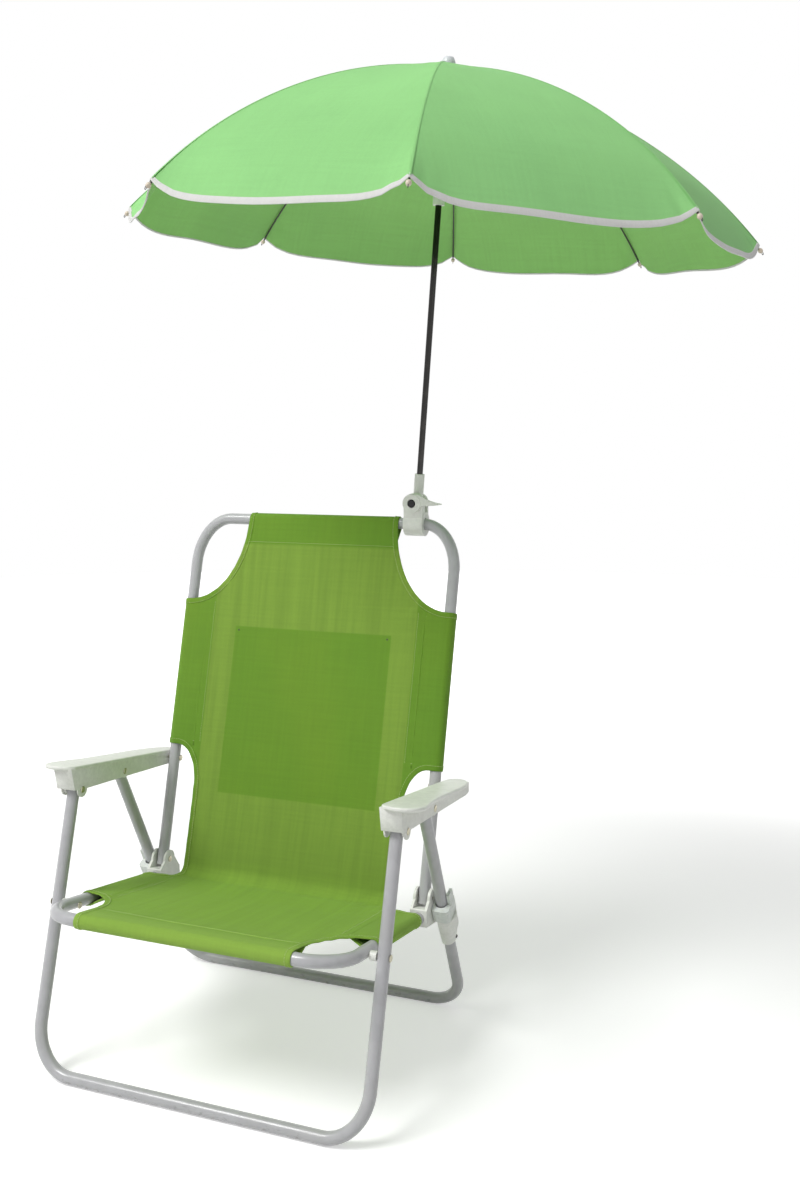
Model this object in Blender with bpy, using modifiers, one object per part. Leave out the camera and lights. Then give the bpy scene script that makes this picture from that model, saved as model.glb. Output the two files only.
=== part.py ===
"""Folding garden chair with a clamped parasol, modelled in metres with +Z up.

The chair faces -Y and stands on the floor at Z = 0, and the front foot bar lies along X.
Two bent tube loops form the legs, two more carry the one-piece sling, and the armrests,
the front legs, the back and the seat make a parallelogram that lets the chair fold flat.
"""

import math

import bmesh
import bpy
from mathutils import Euler, Matrix, Vector

# Fits and finish shared by every piece
GAP = 0.0003
OVERRUN = 0.02
MERGE = 0.00002
ROUND_SIDES = 18
SMALL_SIDES = 12
TUBE_ROUND_STEPS = 4
WIRE_ROUND_STEPS = 2
CORNER_STEPS = 7

# Frame tubes
TUBE_RADIUS = 0.0085
FOOT_FLAT = 0.0003

# Front legs: one loop whose foot bar lies on the floor at Y = 0
FRONT_LEAN = 0.300
FRONT_CORNER_SIDE = 0.066
FRONT_CORNER_BAR = 0.058
FRONT_STUB = 0.012
LEG_PIVOT_HEIGHT = 0.223
ARM_PIVOT_RISE = 0.149

# Back: one loop round the top, open below
BACK_HALF_WIDTH = 0.216
BACK_LEAN = 0.275
BACK_TOP_Z = 0.7318
BACK_CORNER_SIDE = 0.072
BACK_CORNER_BAR = 0.054
HINGE_RISE = 0.0269
BACK_STUB = 0.009

# Rear legs: one loop that slides through a guide on each side of the seat
REAR_STANDOFF = 0.0075
REAR_LEAN = 0.490
REAR_CORNER_SIDE = 0.052
REAR_CORNER_BAR = 0.050
REAR_STUB = 0.011
REAR_PIVOT_RISE = 0.0090
GUIDE_DROP = 0.0175
GUIDE_SETBACK = 0.0107

# Seat: a loop with its bar in front and its ends in the brackets
SEAT_FRONT_Y = -0.010
SEAT_RIVET_DROP = 0.0026
SEAT_FALL = 0.180
SEAT_TAIL = 0.0242
SEAT_CORNER = 0.055

# Rivets
RIVET_RADIUS = 0.0025
RIVET_HEAD_RADIUS = 0.0048
RIVET_HEAD = 0.0015
RIVET_CROWN_SHARE = 0.45

# Spacer between the seat tube and the front leg
SPACER_RADIUS = 0.0062
SPACER_LENGTH = 0.0100

# Hinge bracket
BRACKET_CHEEK = 0.0039
BRACKET_INNER_CHEEK = 0.0037
BRACKET_FRONT = 0.026
BRACKET_FLOOR = 0.0045
BRACKET_SKIN = 0.0032
BRACKET_EYE = 0.0135
BRACKET_TAIL = 0.0028
TRUNNION_RADIUS = 0.0048
TRUNNION_LENGTH = 0.0024

# Guide collar and sleeve, along the rear leg
GUIDE_SLACK = 0.0021
COLLAR_HALF_DEPTH = 0.0185
COLLAR_OUTER = 0.0145
COLLAR_TOP = 0.012
COLLAR_BOTTOM = 0.010
COLLAR_CORNER = 0.006
TAB_HEIGHT = 0.018
TAB_THICKNESS = 0.0048
TAB_WIDTH = 0.015
SLEEVE_LENGTH = 0.053
SLEEVE_TOP_WALL = 0.0058
SLEEVE_END_WALL = 0.0021
SLEEVE_SHOULDER_SHARE = 0.42
SLEEVE_NARROW_SHARE = 0.66

# Armrests
ARM_CLEARANCE = 0.0038
ARM_WALL = 0.0025
ARM_SLOPE = 0.154
ARM_NOSE = 0.0291
ARM_TAIL = 0.0305
ARM_REAR_RISE = 0.0063
ARM_PLATE = 0.0060
ARM_PLATE_LIP = 0.0005
PADDLE_WIDTH = 0.0525
ARM_BOSS = 0.0105
ARM_REAR_BOSS = 0.0095
ARM_INNER_BOSS = 0.0070
ARM_BOSS_STEP = 0.0002
ARM_EDGE = 0.0018
SKIRT_DEPTH = 0.0210
APRON_BACKSET = 0.0055
APRON_LEAN = 0.006
APRON_RAKE = 0.012
APRON_DEPTH = 0.034
SKIRT_FRONT_DEPTH = 0.0300
SKIRT_STEP_Y = 0.018

# Shares across the paddle and along the arm, from the inner front corner round the outside
PADDLE_SHARES = (
    (0.00, 0.080), (0.03, 0.042), (0.14, 0.016), (0.38, 0.000), (0.68, 0.004), (0.91, 0.036),
    (1.00, 0.090), (0.99, 0.150), (0.94, 0.215), (0.88, 0.280), (0.84, 0.360), (0.82, 0.460),
    (0.82, 0.620), (0.81, 0.740), (0.76, 0.850), (0.65, 0.930), (0.50, 0.980), (0.34, 1.000),
    (0.16, 0.988), (0.04, 0.940), (0.00, 0.860), (0.00, 0.600), (0.00, 0.300),
)

# Clamp on the back's top bar
CLAMP_STANDOFF = 0.0105
CLAMP_WIDTH = 0.030
CLAMP_RADIUS = 0.0180
CLAMP_SPLIT = 0.0008
CLAMP_LEAN = math.radians(2.2)
BOLT_RISE = 0.0320
CHEEK_HALF_WIDTH = 0.0145
CHEEK_THICKNESS = 0.0140
REAR_EAR_HALF_WIDTH = 0.0120
REAR_EAR_THICKNESS = 0.0052
BOLT_RADIUS = 0.0028
BOLT_HEAD_RADIUS = 0.0060
BOLT_HEAD = 0.0042
BOLT_HEAD_SIDES = 6
NUT_THICKNESS = 0.0040
NUT_RADIUS = 0.0062
LEVER_HUB = 0.0140
LEVER_THICKNESS = 0.0058
LEVER_REACH = 0.0460
LEVER_POCKET = 0.0030
# Shares of the lever's reach and hub radius along the wing, from its root over the tip
WING_SHARES = (
    (0.00, 1.00), (0.22, 0.92), (0.42, 0.60), (0.62, 0.30), (0.82, 0.12), (1.00, 0.02),
    (1.00, -0.06), (0.80, -0.16), (0.56, -0.22), (0.34, -0.22), (0.20, -0.60), (0.00, -1.00),
)

# Pole and its sleeve
PARASOL_LEAN = math.radians(4.9)
POLE_RADIUS = 0.0045
POLE_REACH = 0.6065
SOCKET_RADIUS = 0.0074
SOCKET_BELOW = 0.0100
SOCKET_ABOVE = 0.0420
SOCKET_FLOOR = 0.0120

# Parasol
RIB_COUNT = 8
RIB_TURN = math.radians(15.5)
CANOPY_RADIUS = 0.4515
CANOPY_DEPTH = 0.211
CANOPY_FLATTENING = 0.012
CANOPY_FLAT_START = 0.04
CLOTH = 0.0012
CANOPY_HOLE = 0.0042
HEM_DROP = 0.027
HEM_FLARE_SHARE = 0.35
HEM_START_SHARE = 0.80
GORE_STEPS = 6
CANOPY_ROWS = 11
RIB_RADIUS = 0.0012
RIB_POINTS = 12
RIB_INSET = 0.0032
RIB_OVERHANG = 0.012
BEAD_RADIUS = 0.0034
BEAD_SHARES = ((0.30, 0.35), (0.42, 0.85), (0.62, 1.00), (0.82, 0.85), (0.96, 0.35))
PIVOT_RADIUS = 0.0125
PIVOT_DROP = 0.010
ELBOW_REACH = 0.250
ELBOW_INSET = 0.0027
STRETCHER_RADIUS = 0.0011
CROWN_RADIUS = 0.0150
CROWN_TOP = 0.0018
CROWN_HEIGHT = 0.0140
NOTCH = 0.0032
NOTCH_INSET = 0.0020
RUNNER_RADIUS = 0.0085
RUNNER_FLANGE = 0.0050
RUNNER_HEIGHT = 0.034
FINIAL_RADIUS = 0.0100
FINIAL_HEIGHT = 0.0150
FINIAL_STEM = 0.0030
FINIAL_SEAT = 0.0012
FINIAL_NECK_SHARE = 0.72

# Sling
SLING = 0.0014
SLING_EASE = 0.0004
SLEEVE_WRAP = math.radians(200)
EDGE_WRAP = math.radians(8)
BAR_WRAP = math.radians(215)
WRAP_STEPS = 7
PANEL_COLUMNS = 12
SCALLOP_WIDTH = 0.0915
ARMHOLE_WIDTH = 0.0440
SEAT_NOTCH_WIDTH = 0.0610
SCALLOP_DROP = 0.132
SCALLOP_STEPS = 7
ARMHOLE_TOP = 0.178
ARMHOLE_EASE = 0.060
BACK_START = 0.012
SEAT_CUT = 0.026
SEAT_SLEEVE_START = 0.104
SEAT_SLEEVE_EASE = 0.024
SEAT_LENGTH = 0.286
SEAT_BACKSET = 0.01556
SAG = 0.006
POCKET_MARGIN = 0.0860
POCKET_DROP = 0.1706
POCKET_HEIGHT = 0.257
POCKET_THICKNESS = 0.0012

# Paints: colour, roughness, metallic
PAINTS = {
    "white_enamel": ((0.72, 0.72, 0.70), 0.28, 0.0),
    "white_plastic": ((0.70, 0.71, 0.68), 0.38, 0.0),
    "clear_nylon": ((0.76, 0.80, 0.76), 0.30, 0.0),
    "grey_plastic": ((0.48, 0.50, 0.48), 0.45, 0.0),
    "zinc": ((0.46, 0.44, 0.36), 0.35, 1.0),
    "dark_steel": ((0.06, 0.06, 0.06), 0.30, 1.0),
    "chrome": ((0.55, 0.56, 0.57), 0.12, 1.0),
    "lime_sling": ((0.24, 0.42, 0.06), 0.80, 0.0),
    "green_canopy": ((0.30, 0.68, 0.25), 0.75, 0.0),
}

# Places that follow from the sizes above
FOOT_Z = TUBE_RADIUS - FOOT_FLAT
BORE = TUBE_RADIUS + GAP
FRONT_HALF_WIDTH = BACK_HALF_WIDTH + TUBE_RADIUS * 2 + SPACER_LENGTH
REAR_HALF_WIDTH = BACK_HALF_WIDTH + TUBE_RADIUS * 2 + REAR_STANDOFF
LEG_PIVOT_Y = FRONT_LEAN * (LEG_PIVOT_HEIGHT - FOOT_Z)
SEAT_FRONT_Z = LEG_PIVOT_HEIGHT + SEAT_RIVET_DROP + SEAT_FALL * (LEG_PIVOT_Y - SEAT_FRONT_Y)
BACK_HINGE_Y = SEAT_FRONT_Y + (SEAT_LENGTH + SEAT_BACKSET) / math.hypot(1, SEAT_FALL)
BACK_HINGE_HEIGHT = SEAT_FRONT_Z + HINGE_RISE - SEAT_FALL * (BACK_HINGE_Y - SEAT_FRONT_Y)
BACK_TOP_Y = BACK_HINGE_Y + BACK_LEAN * (BACK_TOP_Z - BACK_HINGE_HEIGHT)
SEAT_REAR_Y = BACK_HINGE_Y + SEAT_TAIL
GUIDE_HEIGHT = BACK_HINGE_HEIGHT - GUIDE_DROP
REAR_FOOT_Y = BACK_HINGE_Y + GUIDE_SETBACK + REAR_LEAN * (GUIDE_HEIGHT - FOOT_Z)
REAR_PIVOT_HEIGHT = BACK_HINGE_HEIGHT + ARM_PIVOT_RISE + REAR_PIVOT_RISE
ARM_INNER = BACK_HALF_WIDTH + TUBE_RADIUS + ARM_CLEARANCE
ARM_WIDTH = FRONT_HALF_WIDTH + TUBE_RADIUS + ARM_CLEARANCE + ARM_WALL - ARM_INNER
TOP_HALF_WIDTH = BACK_HALF_WIDTH - SCALLOP_WIDTH
WAIST_HALF_WIDTH = BACK_HALF_WIDTH - ARMHOLE_WIDTH
FRONT_HALF_HEM = BACK_HALF_WIDTH - SEAT_NOTCH_WIDTH
POCKET_HALF_WIDTH = BACK_HALF_WIDTH - POCKET_MARGIN
SEAT_SLEEVE_END = SEAT_LENGTH - SEAT_SLEEVE_EASE
CLAMP_X = TOP_HALF_WIDTH + CLAMP_STANDOFF + CLAMP_WIDTH / 2
HUG = TUBE_RADIUS + GAP + SLING_EASE + SLING / 2
BACK_LENGTH = math.hypot(1, BACK_LEAN)
BACK_REACH = (BACK_TOP_Z - BACK_HINGE_HEIGHT) * BACK_LENGTH
POCKET_TOP = BACK_REACH - POCKET_DROP
SEAT_ANGLE = -math.atan(SEAT_FALL)
BACK_ANGLE = -math.atan(BACK_LEAN)
REAR_ANGLE = math.atan(REAR_LEAN)
SPHERE = (CANOPY_RADIUS ** 2 + CANOPY_DEPTH ** 2) / (2 * CANOPY_DEPTH)
HALF_GORE = math.pi / RIB_COUNT


def front_leg(height):
    """A point of the right front leg's centre line at a height."""
    return Vector((FRONT_HALF_WIDTH, FRONT_LEAN * (height - FOOT_Z), height))


def rear_leg(height):
    """A point of the right rear leg's centre line at a height."""
    return Vector((REAR_HALF_WIDTH, REAR_FOOT_Y - REAR_LEAN * (height - FOOT_Z), height))


def back_tube(height):
    """A point of the back's right tube at a height."""
    return Vector((BACK_HALF_WIDTH, BACK_TOP_Y - BACK_LEAN * (BACK_TOP_Z - height), height))


def seat_tube(y):
    """A point of the seat's right tube at a depth."""
    return Vector((BACK_HALF_WIDTH, y, SEAT_FRONT_Z - SEAT_FALL * (y - SEAT_FRONT_Y)))


LEG_PIVOT = front_leg(LEG_PIVOT_HEIGHT)
ARM_FRONT_PIVOT = front_leg(LEG_PIVOT_HEIGHT + ARM_PIVOT_RISE)
BACK_HINGE = back_tube(BACK_HINGE_HEIGHT)
ARM_REAR_PIVOT = BACK_HINGE + ARM_FRONT_PIVOT - LEG_PIVOT
REAR_PIVOT = rear_leg(REAR_PIVOT_HEIGHT)
GUIDE = rear_leg(GUIDE_HEIGHT)
ARM_FRONT_Y = ARM_FRONT_PIVOT.y - ARM_NOSE
ARM_REAR_Y = ARM_REAR_PIVOT.y + ARM_TAIL
ARM_REAR_TOP = ARM_REAR_PIVOT.z + ARM_REAR_RISE


def clear_scene():
    """Remove what the scene holds."""
    for item in list(bpy.data.objects):
        bpy.data.objects.remove(item, do_unlink=True)


def new_collection(name):
    """A collection linked to the scene."""
    group = bpy.data.collections.new(name)
    bpy.context.scene.collection.children.link(group)
    return group


def new_paint(name):
    """A Principled material for one piece."""
    colour, roughness, metallic = PAINTS[name]
    paint = bpy.data.materials.new(name)
    paint.use_nodes = True
    shader = paint.node_tree.nodes["Principled BSDF"]
    shader.inputs["Base Color"].default_value = (*colour, 1)
    shader.inputs["Roughness"].default_value = roughness
    shader.inputs["Metallic"].default_value = metallic
    return paint


def add_object(name, data, group):
    """Link an object that holds some data."""
    item = bpy.data.objects.new(name, data)
    group.objects.link(item)
    return item


def add_pivot(name, place, parent=None, turn=(0, 0, 0)):
    """An empty on a joint's axis, placed in its parent's frame."""
    empty = add_object(name, None, PARTS)
    empty.location = place
    empty.rotation_euler = Euler(turn)
    empty.parent = parent
    return empty


def paint(item, name):
    """Give a piece its own material."""
    item.data.materials.clear()
    item.data.materials.append(new_paint(name))
    return item


def hang(item, pivot, origin=(0, 0, 0)):
    """Carry a piece on a pivot, with its origin at that pivot's place."""
    item.data.transform(Matrix.Translation(-Vector(origin)))
    item.parent = pivot
    return item


def mesh_from(name, shape, group):
    """An object from a bmesh, with its faces turned outwards."""
    shape.normal_update()
    bmesh.ops.recalc_face_normals(shape, faces=shape.faces)
    mesh = bpy.data.meshes.new(name)
    shape.to_mesh(mesh)
    shape.free()
    return add_object(name, mesh, group)


def solid(item):
    """Swap a curve or a piece with modifiers for its finished mesh."""
    bpy.context.view_layer.update()
    view = bpy.context.evaluated_depsgraph_get()
    mesh = bpy.data.meshes.new_from_object(item.evaluated_get(view))
    if item.type == "CURVE":
        shape = bmesh.new()
        shape.from_mesh(mesh)
        bmesh.ops.remove_doubles(shape, verts=shape.verts, dist=MERGE)
        bmesh.ops.recalc_face_normals(shape, faces=shape.faces)
        shape.to_mesh(mesh)
        shape.free()
    name = item.name
    group = item.users_collection[0]
    world = item.matrix_world.copy()
    bpy.data.objects.remove(item, do_unlink=True)
    mesh.name = name
    finished = add_object(name, mesh, group)
    finished.matrix_world = world
    return finished


def smooth(item, angle=math.radians(40)):
    """Shade smooth across faces that meet at less than an angle."""
    item.data.shade_smooth()
    item.data.set_sharp_from_angle(angle=angle)
    return item


def rounded(start, corners, end, steps=CORNER_STEPS):
    """A path with each corner turned through a quarter of an ellipse."""
    path = [start]
    places = [start] + [corner[0] for corner in corners] + [end]
    for index, (corner, before, after) in enumerate(corners, 1):
        inward = (corner - places[index - 1]).normalized()
        outward = (places[index + 1] - corner).normalized()
        centre = corner - inward * before + outward * after
        for step in range(steps + 1):
            turn = math.pi / 2 * step / steps
            path.append(centre + inward * before * math.sin(turn) - outward * after * math.cos(turn))
    path.append(end)
    return path


def tube(name, path, radius, rounding, group, widths=None):
    """A round bar along a path, as a finished mesh."""
    curve = bpy.data.curves.new(name, "CURVE")
    curve.dimensions = "3D"
    curve.bevel_depth = radius
    curve.bevel_resolution = rounding
    curve.use_fill_caps = True
    spline = curve.splines.new("POLY")
    spline.points.add(len(path) - 1)
    for index, (point, place) in enumerate(zip(spline.points, path)):
        point.co = (*place, 1)
        point.radius = widths[index] if widths else 1
    return solid(add_object(name, curve, group))


def slab(name, outline, thickness, group):
    """A flat outline in its own XY plane, made thick about that plane."""
    curve = bpy.data.curves.new(name, "CURVE")
    curve.dimensions = "2D"
    curve.fill_mode = "BOTH"
    curve.extrude = thickness / 2
    spline = curve.splines.new("POLY")
    spline.points.add(len(outline) - 1)
    for point, (across, along) in zip(spline.points, outline):
        point.co = (across, along, 0, 1)
    spline.use_cyclic_u = True
    return solid(add_object(name, curve, group))


def side_slab(name, outline, inner, outer, group):
    """An outline of (Y, Z) points made thick from one X to another."""
    item = slab(name, outline, abs(outer - inner), group)
    stand = Matrix.Translation(((inner + outer) / 2, 0, 0)) @ Matrix(
        ((0, 0, 1, 0), (1, 0, 0, 0), (0, 1, 0, 0), (0, 0, 0, 1)))
    item.data.transform(stand)
    return item


def box(name, low, high, group):
    """A box between two corners."""
    low = Vector(low)
    high = Vector(high)
    shape = bmesh.new()
    bmesh.ops.create_cube(shape, size=1)
    size = high - low
    bmesh.ops.scale(shape, vec=size, verts=shape.verts)
    bmesh.ops.translate(shape, vec=(low + high) / 2, verts=shape.verts)
    return mesh_from(name, shape, group)


def rod(name, start, end, radius, group, sides=ROUND_SIDES, end_radius=None):
    """A cylinder or cone between two points."""
    start = Vector(start)
    end = Vector(end)
    shape = bmesh.new()
    bmesh.ops.create_cone(shape, cap_ends=True, segments=sides, radius1=radius,
                          radius2=radius if end_radius is None else end_radius,
                          depth=(end - start).length)
    aim = (end - start).to_track_quat("Z", "Y").to_matrix().to_4x4()
    shape.transform(Matrix.Translation((start + end) / 2) @ aim)
    return mesh_from(name, shape, group)


def turned(name, profile, group, sides=ROUND_SIDES):
    """A turned piece about Z from a profile of (radius, Z) points, top to bottom."""
    mesh = bpy.data.meshes.new(name)
    mesh.from_pydata([(radius, 0, z) for radius, z in profile],
                     [(step, step + 1) for step in range(len(profile) - 1)], [])
    item = add_object(name, mesh, group)
    screw = item.modifiers.new("Turn", "SCREW")
    screw.axis = "Z"
    screw.steps = sides
    screw.render_steps = sides
    screw.use_merge_vertices = True
    screw.merge_threshold = MERGE
    return solid(item)


def ring_profile(inner, outer, low, high):
    """The closed profile of a plain ring, for turning."""
    return [(inner, high), (outer, high), (outer, low), (inner, low), (inner, high)]


def combine(item, tool, operation):
    """Add or take away another solid, which is then put with the cutters."""
    change = item.modifiers.new(operation.title(), "BOOLEAN")
    change.operation = operation
    change.solver = "EXACT"
    change.object = tool
    for group in list(tool.users_collection):
        group.objects.unlink(tool)
    CUTTERS.objects.link(tool)
    tool.hide_render = True
    tool.display_type = "WIRE"
    return item


def cut(item, tool):
    """Take a solid away."""
    return combine(item, tool, "DIFFERENCE")


def join(item, tool):
    """Add a solid."""
    return combine(item, tool, "UNION")


def soften(item, width, segments=2, angle=math.radians(50)):
    """Round a piece's sharp edges."""
    bevel = item.modifiers.new("Soft edges", "BEVEL")
    bevel.width = width
    bevel.segments = segments
    bevel.limit_method = "ANGLE"
    bevel.angle_limit = angle
    return item


def mirrored(item, name, paint_name, pivot, origin):
    """The left-hand copy of a right-hand piece, which is still in world places."""
    bpy.context.view_layer.update()
    view = bpy.context.evaluated_depsgraph_get()
    mesh = bpy.data.meshes.new_from_object(item.evaluated_get(view))
    mesh.transform(Matrix.Diagonal((-1, 1, 1, 1)) @ item.matrix_world)
    mesh.flip_normals()
    mesh.name = name
    copy = add_object(name, mesh, PARTS)
    paint(copy, paint_name)
    return hang(copy, pivot, origin)


def drill(item, place, radius, start, end):
    """Bore a hole along X through a piece."""
    name = item.name + "_bore"
    return cut(item, rod(name, (start, place.y, place.z), (end, place.y, place.z), radius, CUTTERS))


def along_x(x, place):
    """A place moved to an X of its own."""
    return Vector((x, place.y, place.z))


def finish_loop(item, pivot, origin, holes):
    """Bore a tube loop for its rivets on both sides, paint it and hang it."""
    for place in holes:
        for hand in (1, -1):
            drill(item, place, RIVET_RADIUS + GAP, hand * (place.x - OVERRUN), hand * (place.x + OVERRUN))
    item = solid(item)
    paint(smooth(item), "white_enamel")
    return hang(item, pivot, origin)


def mirror_point(place):
    """The same place on the left."""
    return Vector((-place.x, place.y, place.z))


def flatten_foot(item):
    """Leave a flat strip along the underside where a foot bar stands."""
    shape = bmesh.new()
    shape.from_mesh(item.data)
    everything = shape.verts[:] + shape.edges[:] + shape.faces[:]
    found = bmesh.ops.bisect_plane(shape, geom=everything, plane_co=(0, 0, 0), plane_no=(0, 0, -1),
                                   clear_outer=True, dist=MERGE)
    edges = [part for part in found["geom_cut"] if isinstance(part, bmesh.types.BMEdge)]
    bmesh.ops.edgenet_fill(shape, edges=edges)
    bmesh.ops.recalc_face_normals(shape, faces=shape.faces)
    shape.to_mesh(item.data)
    shape.free()
    return item


def leg_loop(name, top, foot_y, corner, pivot, holes):
    """A leg loop from its left top end round the foot bar to its right top end."""
    foot = Vector((top.x, foot_y, FOOT_Z))
    side, bar = corner
    path = rounded(mirror_point(top), [(mirror_point(foot), side, bar), (foot, bar, side)], top)
    item = flatten_foot(tube(name, path, TUBE_RADIUS, TUBE_ROUND_STEPS, PARTS))
    return finish_loop(item, pivot, pivot.location, holes)


def make_front_legs(pivot):
    """The front leg loop, hinged to the seat."""
    rise = ARM_FRONT_PIVOT - LEG_PIVOT
    top = ARM_FRONT_PIVOT + rise.normalized() * FRONT_STUB
    leg_loop("front_leg_loop", top, 0, (FRONT_CORNER_SIDE, FRONT_CORNER_BAR), pivot,
             (LEG_PIVOT, ARM_FRONT_PIVOT))


def make_rear_legs(pivot):
    """The rear leg loop, hinged to the armrests; its own pivot hangs under theirs."""
    rise = REAR_PIVOT - GUIDE
    top = REAR_PIVOT + rise.normalized() * REAR_STUB
    item = leg_loop("rear_leg_loop", top, REAR_FOOT_Y, (REAR_CORNER_SIDE, REAR_CORNER_BAR), pivot,
                    (REAR_PIVOT,))
    item.data.transform(Matrix.Translation(pivot.location - along_x(0, REAR_PIVOT)))


def make_seat_frame(pivot):
    """The seat loop, with its bar in front."""
    start = seat_tube(SEAT_REAR_Y)
    corner = seat_tube(SEAT_FRONT_Y)
    path = rounded(mirror_point(start), [(mirror_point(corner), SEAT_CORNER, SEAT_CORNER),
                                         (corner, SEAT_CORNER, SEAT_CORNER)], start)
    hole = along_x(BACK_HALF_WIDTH, LEG_PIVOT)
    finish_loop(tube("seat_frame", path, TUBE_RADIUS, TUBE_ROUND_STEPS, PARTS), pivot, (0, 0, 0), (hole,))


def make_back_frame(pivot):
    """The back loop, with its top bar above."""
    start = back_tube(BACK_HINGE_HEIGHT - BACK_STUB)
    corner = back_tube(BACK_TOP_Z)
    path = rounded(mirror_point(start), [(mirror_point(corner), BACK_CORNER_SIDE, BACK_CORNER_BAR),
                                         (corner, BACK_CORNER_BAR, BACK_CORNER_SIDE)], start)
    holes = (BACK_HINGE, along_x(BACK_HALF_WIDTH, ARM_REAR_PIVOT))
    finish_loop(tube("back_frame", path, TUBE_RADIUS, TUBE_ROUND_STEPS, PARTS), pivot, pivot.location, holes)


def make_rivet(name, place, start, end, pivot, heads=(True, True), origin=(0, 0, 0)):
    """A rivet along X on both sides of the chair, with a domed head at each end that has one."""
    profile = [(0, 0)]
    crown = RIVET_HEAD * RIVET_CROWN_SHARE
    if heads[1]:
        profile = [(0, RIVET_HEAD), (RIVET_HEAD_RADIUS / 2, RIVET_HEAD), (RIVET_HEAD_RADIUS, crown),
                   (RIVET_HEAD_RADIUS, 0)]
    profile.append((RIVET_RADIUS, 0))
    reach = start - end
    profile.append((RIVET_RADIUS, reach))
    if heads[0]:
        profile += [(RIVET_HEAD_RADIUS, reach), (RIVET_HEAD_RADIUS, reach - crown),
                    (RIVET_HEAD_RADIUS / 2, reach - RIVET_HEAD), (0, reach - RIVET_HEAD)]
    else:
        profile.append((0, reach))
    item = turned(name + "_r", profile, PARTS, SMALL_SIDES)
    item.data.transform(Matrix.Translation((end, place.y, place.z)) @ Matrix.Rotation(math.pi / 2, 4, "Y"))
    paint(smooth(item), "zinc")
    left, right = pivot if isinstance(pivot, tuple) else (pivot, pivot)
    mirrored(item, name + "_l", "zinc", left, mirror_point(Vector(origin)))
    hang(item, right, origin)


def make_spacers(pivot):
    """The spacer that keeps the front leg off the seat tube, on each side."""
    start = BACK_HALF_WIDTH + TUBE_RADIUS + GAP
    end = FRONT_HALF_WIDTH - TUBE_RADIUS - GAP
    profile = ring_profile(RIVET_RADIUS + GAP, SPACER_RADIUS, start, end)
    item = turned("leg_spacer_r", profile, PARTS)
    item.data.transform(Matrix.Translation(along_x(0, LEG_PIVOT)) @ Matrix.Rotation(math.pi / 2, 4, "Y"))
    paint(smooth(item), "white_plastic")
    mirrored(item, "leg_spacer_l", "white_plastic", pivot, (0, 0, 0))
    hang(item, pivot)


def bracket_outline():
    """The bracket's side view: a block along the seat tube with an eye round the back's hinge."""
    half = BORE + BRACKET_SKIN
    front = seat_tube(BACK_HINGE.y - BRACKET_FRONT)
    rear = seat_tube(SEAT_REAR_Y + GAP + BRACKET_TAIL)
    outline = [(front.y, front.z - half), (rear.y, rear.z - half), (rear.y, rear.z + half)]
    steps = CORNER_STEPS * 2
    for step in range(steps + 1):
        turn = math.pi * step / steps
        outline.append((BACK_HINGE.y + BRACKET_EYE * math.cos(turn),
                        BACK_HINGE.z + BRACKET_EYE * math.sin(turn)))
    outline.append((front.y, front.z + half))
    return outline


def make_brackets(pivot):
    """The moulded bracket that joins seat tube, back tube and guide, on each side."""
    inner = BACK_HALF_WIDTH - BORE - BRACKET_INNER_CHEEK
    outer = BACK_HALF_WIDTH + BORE + BRACKET_CHEEK
    item = side_slab("hinge_bracket_r", bracket_outline(), inner, outer, PARTS)
    front = seat_tube(BACK_HINGE.y - BRACKET_FRONT - OVERRUN)
    end = seat_tube(SEAT_REAR_Y + GAP)
    cut(item, rod("seat_tube_bore", front, end, BORE, CUTTERS))
    floor = box("back_tube_slot", (-BORE, -OVERRUN * 2, BORE + BRACKET_FLOOR),
                (BORE, OVERRUN * 2, BORE + BRACKET_FLOOR + OVERRUN * 3), CUTTERS)
    floor.data.transform(Matrix.Translation(seat_tube(BACK_HINGE.y)) @ Matrix.Rotation(SEAT_ANGLE, 4, "X"))
    cut(item, floor)
    drill(item, BACK_HINGE, RIVET_RADIUS + GAP, inner - OVERRUN, outer + OVERRUN)
    drill(item, GUIDE, TRUNNION_RADIUS + GAP, outer - TRUNNION_LENGTH - GAP, outer + OVERRUN)
    item = solid(item)
    paint(smooth(item), "white_plastic")
    mirrored(item, "hinge_bracket_l", "white_plastic", pivot, (0, 0, 0))
    hang(item, pivot)
    return outer


def round_rectangle(low, high, corner, steps=CORNER_STEPS // 2):
    """An outline of a rectangle with round corners, anticlockwise from its lower right corner."""
    outline = []
    centres = ((high[0] - corner, low[1] + corner), (high[0] - corner, high[1] - corner),
               (low[0] + corner, high[1] - corner), (low[0] + corner, low[1] + corner))
    for quarter, centre in enumerate(centres):
        for step in range(steps + 1):
            turn = math.pi / 2 * (quarter - 1 + step / steps)
            outline.append((centre[0] + corner * math.cos(turn), centre[1] + corner * math.sin(turn)))
    return outline


def oval(half_width, half_depth, sides=ROUND_SIDES):
    """An oval outline about the origin."""
    turns = [2 * math.pi * side / sides for side in range(sides)]
    return [(half_width * math.cos(turn), half_depth * math.sin(turn)) for turn in turns]


def loft(name, rings, group):
    """A closed solid through rings that hold equally many points."""
    shape = bmesh.new()
    layers = [[shape.verts.new(place) for place in ring] for ring in rings]
    count = len(layers[0])
    for lower, upper in zip(layers, layers[1:]):
        for side in range(count):
            after = (side + 1) % count
            shape.faces.new((lower[side], lower[after], upper[after], upper[side]))
    shape.faces.new(list(reversed(layers[0])))
    shape.faces.new(layers[-1])
    return mesh_from(name, shape, group)


def leg_bore(name, low, high):
    """A cutter for the rear leg's loose slotted bore, in the guide's own frame."""
    turns = [math.pi * side / (ROUND_SIDES // 2) for side in range(ROUND_SIDES // 2 + 1)]
    half = [(BORE * math.cos(turn), BORE * math.sin(turn) + GUIDE_SLACK) for turn in turns]
    outline = half + [(-across, -along) for across, along in half]
    return loft(name, [[(across, along, z) for across, along in outline] for z in (low, high)], CUTTERS)


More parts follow.
